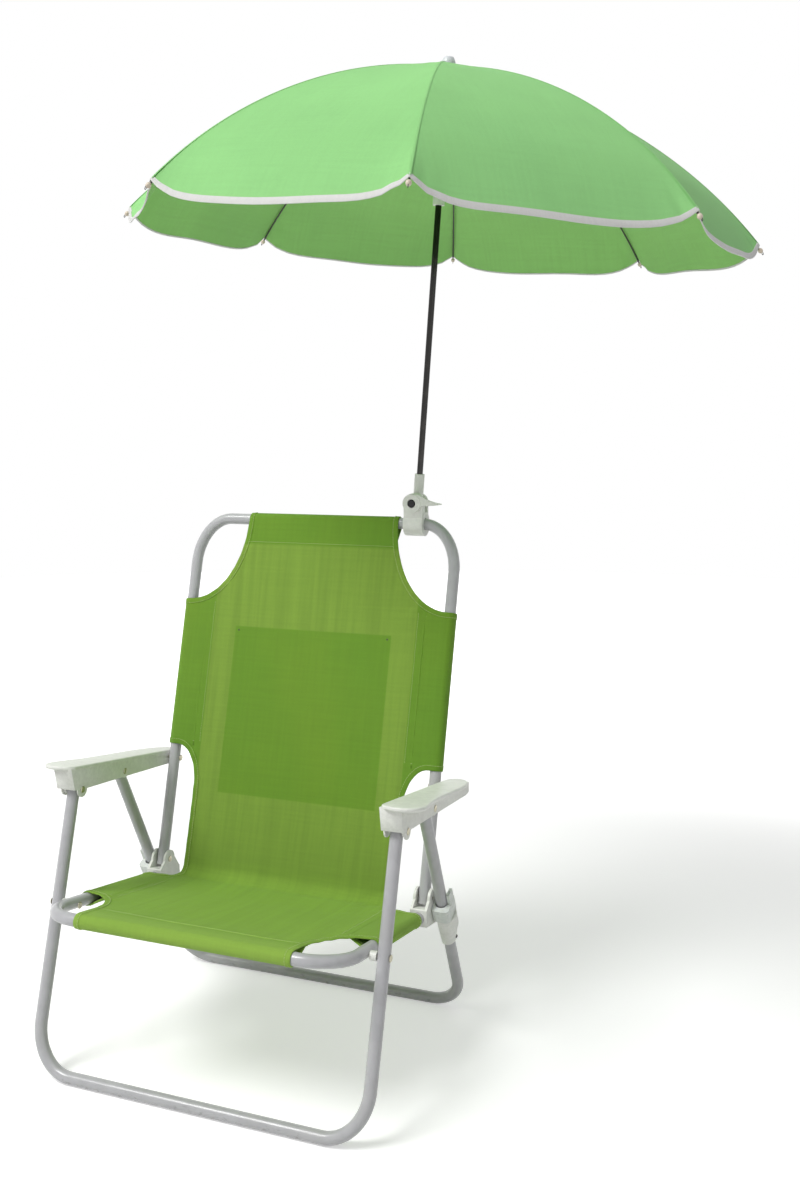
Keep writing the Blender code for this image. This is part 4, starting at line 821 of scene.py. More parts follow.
def rounded(start, corners, end, steps):
    """A path with each corner turned through a quarter of an ellipse."""
    path = [start]
    places = [start] + [corner[0] for corner in corners] + [end]
    for index, (corner, before, after) in enumerate(corners, 1):
        inward = (corner - places[index - 1]).normalized()
        outward = (places[index + 1] - corner).normalized()
        centre = corner - inward * before + outward * after
        for step in range(steps + 1):
            turn = math.pi / 2 * step / steps
            path.append(centre + inward * before * math.sin(turn) - outward * after * math.cos(turn))
    path.append(end)
    return path


def spread(path, pitch):
    """The points of a path, with more put in where they lie further apart than a pitch."""
    points = [path[0]]
    for start, end in zip(path, path[1:]):
        count = max(1, math.ceil((end - start).length / pitch))
        points += [start.lerp(end, step / count) for step in range(1, count + 1)]
    return points


def mirrored(place):
    """The same place on the left."""
    return Vector((-place.x, place.y, place.z))


def smooth_loop(points, steps):
    """A smooth closed loop through points."""
    count = len(points)
    loop = []
    for index in range(count):
        before, start, end, after = (Vector(points[(index + shift) % count])
                                     for shift in (-1, 0, 1, 2))
        for step in range(steps):
            t = step / steps
            bend = 2 * before - 5 * start + 4 * end - after
            twist = 3 * start - before - 3 * end + after
            loop.append((2 * start + (end - before) * t + bend * t ** 2 + twist * t ** 3) / 2)
    return loop


# ---------------------------------------------------------------- frame tubes


def tube_loops():
    """Names, bodies and paths of the four bent tubes."""
    steps = settings("chair_frame").corner_steps
    rise = (ARM_FRONT_PIVOT - LEG_PIVOT).normalized()
    front_top = ARM_FRONT_PIVOT + rise * FRONT_LEG_END
    front_foot = Vector((FRONT_HALF, 0, FOOT_Z))
    rear_rise = Vector((0, -REAR_LEAN, 1)).normalized()
    rear_top = REAR_PIVOT + rear_rise * REAR_LEG_END
    rear_foot = Vector((REAR_HALF, REAR_FOOT_Y, FOOT_Z))
    seat_far = HINGE.y + SEAT_TUBE_END
    seat_end = Vector((BACK_HALF, seat_far, SEAT_BAR.z - SEAT_FALL * (seat_far - SEAT_BAR.y)))
    seat_corner = Vector((BACK_HALF, SEAT_BAR.y, SEAT_BAR.z))
    back_low = HINGE.z - BACK_TUBE_END
    back_end = Vector((BACK_HALF, TOP_BAR.y - BACK_LEAN * (TOP_BAR.z - back_low), back_low))
    back_corner = Vector((BACK_HALF, TOP_BAR.y, TOP_BAR.z))
    for name, node, body, end, corner, side, bar in (
            ("front_leg_tube", "front_leg_loop", "front_legs", front_top, front_foot, 0.066, 0.058),
            ("rear_leg_tube", "rear_leg_loop", "rear_legs", rear_top, rear_foot, 0.052, 0.050),
            ("seat_tube", "seat_frame", "seat", seat_end, seat_corner, 0.055, 0.055),
            ("back_tube", "back_frame", "back", back_end, back_corner, 0.072, 0.054)):
        corners = [(mirrored(corner), side, bar), (corner, bar, side)]
        path = rounded(mirrored(end), corners, end, steps)
        yield name, node, body, path


class UMBRELLACHAIR_OT_tubes(bpy.types.Operator):
    """Build the four bent and enamelled tubes"""

    bl_idname = "umbrella_chair.tubes"
    bl_label = "Frame tubes"

    def execute(self, context):
        sides = settings("chair_frame").tube_sides
        paint = enamel("white_enamel_tube", setting_colour("chair_finish", "enamel_colour"))
        for name, node, body, path in tube_loops():
            shell = Shell()
            add_bar(shell, spread(path, 0.02), TUBE, sides)
            shell.places = [(x, y, max(z, 0.0)) for x, y, z in shell.places]
            new_piece(name, shell.mesh(name), [paint], body, [node])
        return {"FINISHED"}


# ---------------------------------------------------------------- armrests


def arm_top(y):
    """The height of the armrest's top face at a depth."""
    return ARM_REAR_TOP + ARM_SLOPE * (ARM_REAR_Y - y)


def add_paddle(shell, hand):
    """The armrest's top plate: a rounded rim, a slightly crowned top and a flat underside."""
    length = ARM_REAR_Y - ARM_FRONT_Y
    inner = ARM_INNER - 0.0005
    outline = smooth_loop([(inner + across * PADDLE_WIDTH, ARM_FRONT_Y + along * length)
                           for across, along in PADDLE_SHARES], 6)
    middle = Vector((inner + PADDLE_WIDTH * 0.40, ARM_FRONT_Y + length * 0.48))
    count = len(outline)
    normals = []
    for index in range(count):
        ahead = (outline[(index + 1) % count] - outline[index - 1]).normalized()
        normals.append(Vector((-ahead.y, ahead.x)))
    if (middle - outline[0]).dot(normals[0]) < 0:
        normals = [-normal for normal in normals]
    rounding = 0.0024
    rows = [(0.0030, -ARM_PLATE)]
    for step in range(9):
        turn = math.pi * step / 8 - math.pi / 2
        rows.append((rounding * (1 - math.cos(turn)),
                     -ARM_PLATE / 2 + (ARM_PLATE / 2) * math.sin(turn)))
    rows += [(0.0050, 0.0002), (0.0085, 0.0006)]
    places = []
    for inset, drop in rows:
        for spot, normal in zip(outline, normals):
            point = spot + normal * inset
            places.append((hand * point.x, point.y, arm_top(point.y) + drop))
    rings = len(rows)
    rim = [Vector(place) for place in places[-count:]]
    spine = [Vector((hand * middle.x, min(max(point.y, ARM_FRONT_Y + 0.022), ARM_REAR_Y - 0.018), 0))
             for point in rim]
    for share, rise in ((0.70, 0.0009), (0.36, 0.0012), (0.0, 0.0013)):
        for point, hub in zip(rim, spine):
            x = hub.x + (point.x - hub.x) * share
            y = hub.y + (point.y - hub.y) * share
            places.append((x, y, arm_top(y) + rise))
    faces = ring_faces(rings + 3, count, capped=False)
    faces.append(tuple(reversed(range(count))))
    shell.add(places, faces)


def side_outline(depths, inset):
    """The side view of the armrest's walls, or of the space inside them."""
    plate = ARM_PLATE / 2 + inset / 2
    front = ARM_FRONT_Y + APRON_BACKSET + inset
    rear = ARM_REAR_Y - 0.002 - inset
    step = REAR_PIVOT.y + 0.018
    toe = front + APRON_LEAN * depths[0] / APRON_DEPTH
    boss = ARM_FRONT_PIVOT.y + FRONT_BOSS
    return [(front, arm_top(front) - plate), (toe, arm_top(toe) - depths[0]),
            (boss, arm_top(boss) - depths[0]), (step, arm_top(step) - depths[1]),
            (rear - 0.012, arm_top(rear - 0.012) - depths[2]),
            (rear, arm_top(rear) - depths[2] + 0.003), (rear, arm_top(rear) - plate)]


def slab_object(name, outline, inner, outer):
    """A closed slab from a side view, between two places along X."""
    shell = Shell()
    count = len(outline)
    shell.add([(inner, y, z) for y, z in outline] + [(outer, y, z) for y, z in outline],
              ring_faces(2, count))
    return closed_piece(shell, name, [])


def carve(item, tool, operation):
    """Add a solid to a piece or take it away, and remove the tool."""
    change = item.modifiers.new(operation, "BOOLEAN")
    change.operation = operation
    change.solver = "EXACT"
    change.object = tool
    finished(item)
    bpy.data.objects.remove(tool, do_unlink=True)


def add_peg(item, name, pivot, radius, low, high):
    """Join a round peg to a moulding, between two places along X."""
    shell = Shell()
    add_turned(shell, [(radius, 0), (radius, high - low)], along_x((low, pivot.y, pivot.z)))
    carve(item, closed_piece(shell, name, []), "UNION")


def join_mesh(item, mesh):
    """Add a mesh's faces to those of a piece."""
    shape = bmesh.new()
    shape.from_mesh(item.data)
    shape.from_mesh(mesh)
    shape.to_mesh(item.data)
    shape.free()


def soften(item, width, segments=3, angle=30):
    """Round a piece's edges and even out its shading."""
    edge = item.modifiers.new("Soft edges", "BEVEL")
    edge.width = width
    edge.segments = segments
    edge.limit_method = "ANGLE"
    edge.angle_limit = math.radians(angle)
    edge.miter_outer = "MITER_ARC"
    even = item.modifiers.new("Even shading", "WEIGHTED_NORMAL")
    even.keep_sharp = False


class UMBRELLACHAIR_OT_armrests(bpy.types.Operator):
    """Build both moulded armrests, each a paddle over an open channel"""

    bl_idname = "umbrella_chair.armrests"
    bl_label = "Armrests"

    def execute(self, context):
        space_depths = [depth + 0.04 for depth in APRON_DEPTHS]
        inset = 0.0002
        for side, hand, word in HANDS:
            name = "arm_moulding_" + side
            body = "armrest_" + word
            wall = hand * (ARM_OUTER - ARM_WALL)
            skirt = slab_object(name, side_outline(APRON_DEPTHS, 0), hand * ARM_INNER, hand * ARM_OUTER)
            for pivot, radius in ((ARM_FRONT_PIVOT, FRONT_BOSS), (REAR_PIVOT, REAR_BOSS)):
                add_peg(skirt, "boss", pivot, radius, hand * (ARM_INNER + inset),
                        hand * (ARM_OUTER - inset))
            space = slab_object("space", side_outline(space_depths, ARM_WALL),
                                hand * (ARM_INNER + ARM_WALL), wall)
            carve(skirt, space, "DIFFERENCE")
            for pivot, half in ((ARM_FRONT_PIVOT, FRONT_HALF), (REAR_PIVOT, REAR_HALF)):
                add_peg(skirt, "stud", pivot, STUD, hand * (half + 0.0088),
                        hand * (ARM_OUTER - ARM_WALL / 2))
            soften(skirt, 0.0005, 2, 34)
            finished(skirt)
            shell = Shell()
            add_paddle(shell, hand)
            plate = shell.mesh(name + "_plate")
            tidy_normals(plate)
            join_mesh(skirt, plate)
            skirt.data.materials.clear()
            skirt.data.materials.append(white_moulding())
            skirt.data.shade_smooth()
            skirt.data.set_sharp_from_angle(angle=math.radians(44))
            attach(skirt, body)
            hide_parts("armrest_" + side)
        return {"FINISHED"}


# ---------------------------------------------------------------- small fittings


def dress(node, paint, width, segments=2):
    """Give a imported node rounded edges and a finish, leaving its own mesh as it is."""
    item = NODES[node]
    item.data.materials.clear()
    item.data.materials.append(paint)
    weld = item.modifiers.new("Weld", "WELD")
    weld.merge_threshold = 0.00001
    flat = item.modifiers.new("Merge flat faces", "DECIMATE")
    flat.decimate_type = "DISSOLVE"
    flat.angle_limit = math.radians(1.0)
    soften(item, width, segments)


def add_rivet(shell, node):
    """A domed rivet in the place of a packed one, which lies along X."""
    low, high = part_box(node)
    length = high.x - low.x
    middle = (low + high) / 2
    shank = 0.0025
    dome = 0.0015
    head = dome_rows((high.z - low.z) / 2, dome)
    both = not node.startswith("hinge_rivet")
    profile = [(ON_AXIS, 0)] + head + [(shank, dome)]
    if both:
        profile.append((shank, length - dome))
        profile += [(radius, length - height) for radius, height in reversed(head)]
    else:
        profile.append((shank, length))
    profile.append((ON_AXIS, length))
    start = (low.x, middle.y, middle.z)
    turn = Matrix.Identity(4)
    if not both and middle.x < 0:
        start = (high.x, middle.y, middle.z)
        turn = Matrix.Rotation(math.pi, 4, "X")
    add_turned(shell, profile, along_x(start) @ turn, 28)


def dome_rows(head, dome):
    """The rows of a rivet head from its crown to its rim, with a shallow pressed ring."""
    shares = ((0.22, 0.02), (0.45, 0.07), (0.52, 0.15), (0.60, 0.13), (0.78, 0.24), (0.92, 0.44),
              (0.99, 0.68), (1.0, 0.92), (0.97, 1.0))
    return [(head * share, dome * height) for share, height in shares]


class UMBRELLACHAIR_OT_fittings(bpy.types.Operator):
    """Finish the brackets, guide collars, guide sleeves and spacers"""

    bl_idname = "umbrella_chair.fittings"
    bl_label = "Brackets and guides"

    def execute(self, context):
        edge = settings("chair_frame").edge_radius
        for side, _, _ in HANDS:
            dress("hinge_bracket_" + side, white_moulding(), edge)
            dress("guide_collar_" + side, milky_nylon(), edge)
            dress("guide_sleeve_" + side, white_moulding(), edge)
            dress("leg_spacer_" + side, white_moulding(), edge / 2)
        lean = Matrix.Rotation(math.atan(REAR_LEAN), 4, "X")
        head = [(ON_AXIS, 0), (0.0026, 0), (0.0029, 0.0004), (0.0027, 0.0014), (0.0019, 0.0021),
                (0.0008, 0.0023), (0.0007, 0.0017), (ON_AXIS, 0.0016)]
        paint = metal("dark_screw", (0.07, 0.07, 0.07), 0.38)
        for side, hand, word in HANDS:
            guide = Matrix.Translation((hand * GUIDE.x, GUIDE.y, GUIDE.z)) @ lean
            start = guide @ Vector((hand * SCREW_SIDE, 0, -SCREW_DROP))
            turn = Matrix.Rotation(0 if hand > 0 else math.pi, 4, "X")
            shell = Shell()
            add_turned(shell, head, along_x(start) @ turn, 20)
            closed_piece(shell, "sleeve_screw_" + side, [paint], "guide_" + word)
        return {"FINISHED"}


class UMBRELLACHAIR_OT_rivets(bpy.types.Operator):
    """Build the domed rivets at the joints"""

    bl_idname = "umbrella_chair.rivets"
    bl_label = "Rivets"

    def execute(self, context):
        kinds = (("leg_rivet", "seat"), ("hinge_rivet", "seat"), ("arm_rear_rivet", "back"),
                 ("arm_front_rivet", "armrest_{}"), ("arm_middle_rivet", "armrest_{}"))
        for kind, body in kinds:
            for side, _, word in HANDS:
                node = f"{kind}_{side}"
                shell = Shell()
                add_rivet(shell, node)
                closed_piece(shell, "domed_" + node, [zinc()], body.format(word), [node])
        return {"FINISHED"}


class UMBRELLACHAIR_OT_clamp(bpy.types.Operator):
    """Finish the clamp, its bolt and nut, the wing lever and the pole's socket"""

    bl_idname = "umbrella_chair.clamp"
    bl_label = "Clamp"

    def execute(self, context):
        edge = settings("chair_frame").edge_radius
        for node in ("clamp_jaw", "clamp_body", "clamp_lever", "pole_socket"):
            dress(node, white_moulding(), edge * 1.2, 3)
        for node in ("clamp_bolt", "clamp_nut"):
            dress(node, metal("dark_bolt", (0.030, 0.030, 0.031), 0.34), edge * 0.6)
        return {"FINISHED"}


# ---------------------------------------------------------------- sling


SEAT_ALONG = Vector((0, 1, -SEAT_FALL)).normalized()
SEAT_RISE = Vector((0, -SEAT_ALONG.z, SEAT_ALONG.y))
BACK_ALONG = Vector((0, BACK_LEAN, 1)).normalized()
BACK_RISE = Vector((0, -BACK_ALONG.z, BACK_ALONG.y))


def crease_lengths():
    """Where the rounded crease leaves the seat's plane and meets the back's, and its angle."""
    start = SEAT_BAR + SEAT_RISE * HUG
    goal = HINGE + BACK_RISE * HUG
    gap = goal - start
    scale = SEAT_ALONG.y * -BACK_ALONG.z + BACK_ALONG.y * SEAT_ALONG.z
    seat = (gap.y * -BACK_ALONG.z + BACK_ALONG.y * gap.z) / scale
    back = (SEAT_ALONG.y * gap.z - SEAT_ALONG.z * gap.y) / scale
    angle = math.acos(SEAT_ALONG.dot(BACK_ALONG))
    cut = CREASE_RADIUS * math.tan(angle / 2)
    return seat - cut, back + cut, angle


SEAT_STRAIGHT, BACK_STRAIGHT, CREASE_ANGLE = crease_lengths()
CREASE_ARC = CREASE_RADIUS * CREASE_ANGLE
BACK_SHIFT = SEAT_STRAIGHT + CREASE_ARC - BACK_STRAIGHT


def back_length(length):
    """A length above the hinge as a length along the whole sling."""
    return BACK_SHIFT + length


BACK_REACH = (TOP_BAR.z - HINGE.z) * math.hypot(1, BACK_LEAN)
TRACK_TOP = back_length(BACK_REACH)
WAIST_LOW = SEAT_STRAIGHT + CREASE_ARC / 2
WRAP_LENGTH = HUG * RETURN_TURN
SLANT = (HUG * (1 - math.cos(RETURN_TURN)) - PLY_STEP) / -math.sin(RETURN_TURN)
TOUCH = -HUG * math.sin(RETURN_TURN) - SLANT * math.cos(RETURN_TURN)
ROUND = WRAP_LENGTH + SLANT
TAIL = ROUND + HEM_LAP
EDGE_LENGTH = BACK_HALF + ROUND + BACK_HALF - TOUCH - SLEEVE_EDGE
ARM_LOW = back_length(ARMHOLE_LOW)
ARM_TOP = back_length(ARMHOLE_TOP)
SCALLOP_LOW = back_length(BACK_REACH - SCALLOP_DROP)

# Curved edges of the side flaps, each a quarter of an ellipse: its first and last width, then
# its first and last length. It leaves the first corner lengthwise and meets the last crosswise.
NOTCH = (FRONT_EDGE, PANEL_EDGE, NOTCH_START, SLEEVE_START)
SEAT_WAIST = (WAIST, PANEL_EDGE, WAIST_LOW, SLEEVE_END)
ARMHOLE = (WAIST, PANEL_EDGE, ARM_LOW, ARM_TOP)
SCALLOP = (TOP_EDGE, BACK_HALF, TRACK_TOP, SCALLOP_LOW)
EDGE_STEPS = 20


def round_bar(centre, ahead, rise, length):
    """The sling's middle where it wraps a cross bar and comes back under itself."""
    turn = min(length / HUG, RETURN_TURN)
    normal = ahead * math.sin(turn) + rise * math.cos(turn)
    onward = ahead * math.cos(turn) - rise * math.sin(turn)
    return centre + normal * HUG + onward * max(0, length - WRAP_LENGTH), normal


def sling_track(length):
    """The place and normal of the sling's middle at a length along it."""
    if length < 0:
        return round_bar(SEAT_BAR, -SEAT_ALONG, SEAT_RISE, -length)
    if length <= SEAT_STRAIGHT:
        return SEAT_BAR + SEAT_ALONG * length + SEAT_RISE * HUG, SEAT_RISE
    if length < SEAT_STRAIGHT + CREASE_ARC:
        turn = (length - SEAT_STRAIGHT) / CREASE_RADIUS
        normal = SEAT_RISE * math.cos(turn) - SEAT_ALONG * math.sin(turn)
        centre = SEAT_BAR + SEAT_ALONG * SEAT_STRAIGHT + SEAT_RISE * (HUG + CREASE_RADIUS)
        return centre - normal * CREASE_RADIUS, normal
    if length <= TRACK_TOP:
        return HINGE + BACK_ALONG * (length - BACK_SHIFT) + BACK_RISE * HUG, BACK_RISE
    return round_bar(TOP_BAR, BACK_ALONG, BACK_RISE, length - TRACK_TOP)


def ease(value, low, high):
    """A smooth step from 0 to 1 between two values."""
    share = min(1, max(0, (value - low) / (high - low)))
    return share * share * (3 - 2 * share)


def sling_dip(across, length):
    """How far the cloth lies under its plane: sag, drag lines to the sleeves and slight unevenness."""
    side = min(1, abs(across) / BACK_HALF)
    seat = ease(length, 0.0, 0.09) * (1 - ease(length, 0.20, SEAT_STRAIGHT + CREASE_ARC * 0.7))
    back = ease(length, SEAT_STRAIGHT + CREASE_ARC * 0.3, back_length(0.10))
    back *= 1 - ease(length, back_length(0.34), TRACK_TOP - 0.012)
    dip = settings("chair_sling").sag * (1 - side ** 2) * (seat + back)
    calm = (1 - side ** 6) * ease(length, 0.002, 0.05)
    calm *= 1 - ease(length, TRACK_TOP - 0.05, TRACK_TOP - 0.002)
    dip += calm * 0.0009 * noise.noise(Vector((across * 9, length * 6, 1.7)))
    for start, reach, turn in ((SLEEVE_END, 0.09, -0.9), (ARM_TOP, 0.11, 0.8),
                               (SCALLOP_LOW, 0.10, -0.7), (SLEEVE_START, 0.08, 0.9)):
        away = math.hypot(abs(across) - 0.200, length - start)
        line = (abs(across) - 0.200) * math.cos(turn) + (length - start) * math.sin(turn)
        dip += calm * 0.0007 * math.exp(-(away / reach) ** 2) * math.sin(line * 2 * math.pi / 0.021)
    return dip


def sling_place(across, length, lift=0.0):
    """A place on the sling by its places on the flat cloth, and how far it stands off the middle."""
    hand = 1 if across >= 0 else -1
    wide = abs(across)
    if length > TRACK_TOP + ROUND:
        return sling_place(across, 2 * TRACK_TOP + ROUND - TOUCH - length, -PLY_STEP - lift)
    if length < -ROUND:
        return sling_place(across, TOUCH - ROUND - length, -PLY_STEP - lift)
    if wide > BACK_HALF + ROUND:
        return sling_place(hand * (2 * BACK_HALF + ROUND - TOUCH - wide), length, -PLY_STEP - lift)
    middle, normal = sling_track(length)
    if wide <= BACK_HALF:
        return middle + X_AXIS * across + normal * (lift - sling_dip(across, length))
    run = wide - BACK_HALF
    turn = min(run / HUG, RETURN_TURN)
    out = X_AXIS * hand * math.sin(turn) + normal * math.cos(turn)
    onward = X_AXIS * hand * math.cos(turn) - normal * math.sin(turn)
    centre = middle - normal * HUG + X_AXIS * hand * BACK_HALF
    return centre + out * (HUG + lift) + onward * max(0, run - WRAP_LENGTH)


def edge_height(edge, wide):
    """The height of a band's edge at a width; an edge is a height or a curved edge."""
    if not isinstance(edge, tuple):
        return edge
    start, end, low, high = edge
    share = min(1, max(0, (end - wide) / (end - start)))
    return low + (high - low) * math.sqrt(max(0, 1 - share ** 2))


def edge_line(edge):
    """A curved edge as a line of flat cloth places."""
    start, end, low, high = edge
    turns = [math.pi / 2 * step / EDGE_STEPS for step in range(EDGE_STEPS + 1)]
    return [Vector((end - (end - start) * math.cos(turn), low + (high - low) * math.sin(turn)))
            for turn in turns]


def sling_columns():
    """Widths of the grid's columns, closer where an edge curves."""
    fixed = {0.0, TOP_EDGE, FRONT_EDGE, WAIST, SLEEVE_EDGE, PANEL_EDGE, BACK_HALF, EDGE_LENGTH}
    loose = {TOP_EDGE * step / 10 for step in range(10)}
    for start, end, _, _ in (SCALLOP, NOTCH, ARMHOLE):
        loose |= {end - (end - start) * math.cos(math.pi / 2 * step / 12) for step in range(13)}
    loose |= {BACK_HALF + WRAP_LENGTH * step / 18 for step in range(1, 19)}
    loose |= {BACK_HALF + WRAP_LENGTH + SLANT * step / 4 for step in range(5)}
    loose |= {EDGE_LENGTH - 0.003 * step for step in range(4)}
    columns = sorted(fixed)
    for wide in sorted(loose):
        if all(abs(wide - known) > 0.0011 for known in columns):
            columns.append(wide)
    return sorted(columns)


def sling_bands():
    """Rows of the grid: lower and upper edge, outermost column and number of steps."""
    crease_end = SEAT_STRAIGHT + CREASE_ARC
    top_turn = TRACK_TOP + WRAP_LENGTH
    top_touch = TRACK_TOP + ROUND
    return (
        (-TAIL, -ROUND, FRONT_EDGE, 2),
        (-ROUND, -WRAP_LENGTH, FRONT_EDGE, 4),
        (-WRAP_LENGTH, 0.0, FRONT_EDGE, 16),
        (0.0, NOTCH_START, FRONT_EDGE, 3),
        (NOTCH, SLEEVE_START, PANEL_EDGE, 9),
        (SLEEVE_START, SLEEVE_END, EDGE_LENGTH, 16),
        (SLEEVE_END, SEAT_WAIST, PANEL_EDGE, 6),
        (WAIST_LOW, crease_end, WAIST, 5),
        (crease_end, ARM_LOW, WAIST, 14),
        (ARMHOLE, ARM_TOP, PANEL_EDGE, 6),
        (ARM_TOP, SCALLOP_LOW, EDGE_LENGTH, 22),
        (SCALLOP_LOW, SCALLOP, BACK_HALF, 14),
        (TRACK_TOP, top_turn, TOP_EDGE, 16),
        (top_turn, top_touch, TOP_EDGE, 4),
        (top_touch, TRACK_TOP + TAIL, TOP_EDGE, 2),
    )


def sling_grid():
    """The whole sling as one sheet, with its flat places and its flat area."""
    half = sling_columns()
    columns = [-wide for wide in reversed(half[1:])] + half
    known = {}
    places = []
    spots = []
    faces = []
    area = 0.0

    def corner(across, length):
        key = (round(across, 6), round(length, 6))
        if key not in known:
            known[key] = len(places)
            places.append(sling_place(across, length))
            spots.append((across, length))
        return known[key]

    for low, high, reach, steps in sling_bands():
        for left, right in zip(columns, columns[1:]):
            if max(abs(left), abs(right)) > reach + 1e-7:
                continue
            for step in range(steps):
                face = []
                for across, share in ((left, step), (right, step), (right, step + 1), (left, step + 1)):
                    bottom = edge_height(low, abs(across))
                    top = edge_height(high, abs(across))
                    index = corner(across, bottom + (top - bottom) * share / steps)
                    if index not in face:
                        face.append(index)
                if len(face) > 2:
                    faces.append(face)
                    flat = [spots[index] for index in face]
                    area += abs(sum(a[0] * b[1] - b[0] * a[1]
                                    for a, b in zip(flat, flat[1:] + flat[:1]))) / 2
    return places, faces, spots, area


def sling_edges():
    """The sling's cut edges on the right: notch, armhole and scallop, with the cloth on their left."""
    notch = [Vector((FRONT_EDGE, -TAIL)), Vector((FRONT_EDGE, NOTCH_START))]
    notch += edge_line(NOTCH)[1:]
    notch.append(Vector((EDGE_LENGTH, SLEEVE_START)))
    armhole = [Vector((EDGE_LENGTH, SLEEVE_END)), Vector((PANEL_EDGE, SLEEVE_END))]
    armhole += edge_line(SEAT_WAIST)[-2::-1] + edge_line(ARMHOLE)
    armhole.append(Vector((EDGE_LENGTH, ARM_TOP)))
    scallop = [Vector((EDGE_LENGTH, SCALLOP_LOW))] + edge_line(SCALLOP)[::-1]
    scallop.append(Vector((TOP_EDGE, TRACK_TOP + TAIL)))
    return notch, armhole, scallop


def edge_frames(edge, pitch):
    """Points along a cut edge, each with the direction into the cloth."""
    points = spread(edge, pitch)
    frames = []
    for index, point in enumerate(points):
        ahead = (points[min(index + 1, len(points) - 1)] - points[max(index - 1, 0)])
        if ahead.length < 1e-9:
            continue
        ahead.normalize()
        frames.append((point, Vector((-ahead.y, ahead.x))))
    return frames


def add_hem(shell, edge, hand, width):
    """The folded hem along a cut edge, closed round the cloth's rim."""
    section = [(width, 0.00050), (width - 0.0004, 0.00100), (width * 0.5, 0.00118), (0.0006, 0.00100),
               (-0.0003, 0.00055), (-0.0005, 0.0), (-0.0003, -0.00055), (0.0006, -0.00100),
               (width * 0.5, -0.00118), (width - 0.0004, -0.00100), (width, -0.00050)]
    frames = edge_frames(edge, 0.005)
    places = []
    spots = []
    for point, inward in frames:
        for inset, lift in section:
            spot = point + inward * inset
            places.append(sling_place(hand * spot.x, spot.y, lift))
            spots.append((hand * spot.x, spot.y + lift))
    faces = ring_faces(len(frames), len(section))
    if hand > 0:
        faces = [tuple(reversed(face)) for face in faces]
    shell.add_cloth(places, faces, spots)


def add_stitch(shell, start, end, normal, radius=0.00026):
    """One stitch: a short bowed thread that dives into the cloth at both ends."""
    middle = (start + end) / 2
    path = [start - normal * 0.0003, start.lerp(end, 0.15) + normal * radius * 0.6,
            middle + normal * radius * 1.3, start.lerp(end, 0.85) + normal * radius * 0.6,
            end - normal * 0.0003]
    shell.add(bar_places(path, [radius * 0.8, radius, radius * 1.1, radius, radius * 0.8], 5, normal),
              ring_faces(5, 5))


def sew_sling(shell, line, pitch, lifts):
    """Stitches along a line of flat cloth places, on the sides of the cloth given by the lifts."""
    points = []
    rest = 0.0
    for start, end in zip(line, line[1:]):
        run = (end - start).length
        at = rest
        while at < run:
            points.append((start.lerp(end, at / run), (end - start).normalized()))
            at += pitch
        rest = at - run
    for spot, ahead in points:
        for lift in lifts:
            first = spot - ahead * pitch * 0.33
            last = spot + ahead * pitch * 0.33
            start = sling_place(first.x, first.y, lift)
            end = sling_place(last.x, last.y, lift)
            above = sling_place(spot.x, spot.y, lift * 2)
            normal = (above - sling_place(spot.x, spot.y, lift)).normalized()
            add_stitch(shell, start, end, normal)


def seam_lines():
    """The straight seams of the two sleeves on the right."""
    side = SLEEVE_EDGE + 0.002
    return [[Vector((side, low)), Vector((side, high))]
            for low, high in ((SLEEVE_START + 0.008, SLEEVE_END - 0.008),
                              (ARM_TOP + 0.008, SCALLOP_LOW - 0.002))]


def bend_with_chair(item):
    """Bake a piece of cloth's placing into its mesh."""
    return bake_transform(item)


class UMBRELLACHAIR_OT_sling(bpy.types.Operator):
    """Build the one-piece sling with its hems and stitching"""

    bl_idname = "umbrella_chair.sling"
    bl_label = "Sling"

    def execute(self, context):
        look = settings("chair_sling")
        fabric = cloth("lime_sling_cloth", tuple(look.cloth_colour), look.weave_pitch, sling_layers)
        places, faces, spots, area = sling_grid()
        shell = Shell()
        shell.add_cloth(places, faces, spots)
        sling = new_piece("sling", shell.mesh("sling"), [fabric], None,
                          ["seat_sling", "back_sling"])
        thicken(sling, CLOTH)
        bend_with_chair(sling)
        hems = Shell()
        seams = Shell()
        sewing = thread("lime_thread", tuple(look.thread_colour))
        for hand in (1, -1):
            for edge in sling_edges():
                add_hem(hems, edge, hand, look.hem_width)
                inner = [point + inward * look.hem_width * 0.80
                         for point, inward in edge_frames(edge, 0.003)]
                sew_sling(seams, [Vector((hand * spot.x, spot.y)) for spot in inner],
                          look.stitch_pitch, (0.00125, -0.00125))
            for line in seam_lines():
                sew_sling(seams, [Vector((hand * spot.x, spot.y)) for spot in line],
                          look.stitch_pitch, (0.0006, -0.0006))
        hem_seam = TOUCH + HEM_LAP / 2
        for length, reach in ((hem_seam, FRONT_EDGE - 0.010), (TRACK_TOP - hem_seam, TOP_EDGE - 0.004)):
            sew_sling(seams, [Vector((-reach, length)), Vector((reach, length))],
                      look.stitch_pitch, (0.0006, -0.0006))
        hem = closed_piece(hems, "sling_hems", [fabric], None)
        bend_with_chair(hem)
        seam = new_piece("sling_stitching", seams.mesh("sling_stitching"), [sewing], None)
        bend_with_chair(seam)
        length = TRACK_TOP + 2 * TAIL
        return {"FINISHED"}


# ---------------------------------------------------------------- pocket


def pocket_place(across, length, lift=0.0):
    """A place on the pocket behind the back, by its width and its length above the hinge."""
    spot = sling_place(across, back_length(length), -0.0021)
    side = 1 - (abs(across) / POCKET_HALF) ** 6
    rise = ease(length, POCKET_LOW, POCKET_LOW + 0.05)
    bulge = (0.0014 + 0.0010 * ease(length, POCKET_LOW + 0.12, POCKET_TOP)) * side * rise
    bulge += 0.0004 * side * rise * noise.noise(Vector((across * 24, length * 14, 4.2)))
    return spot - BACK_RISE * (bulge - lift)


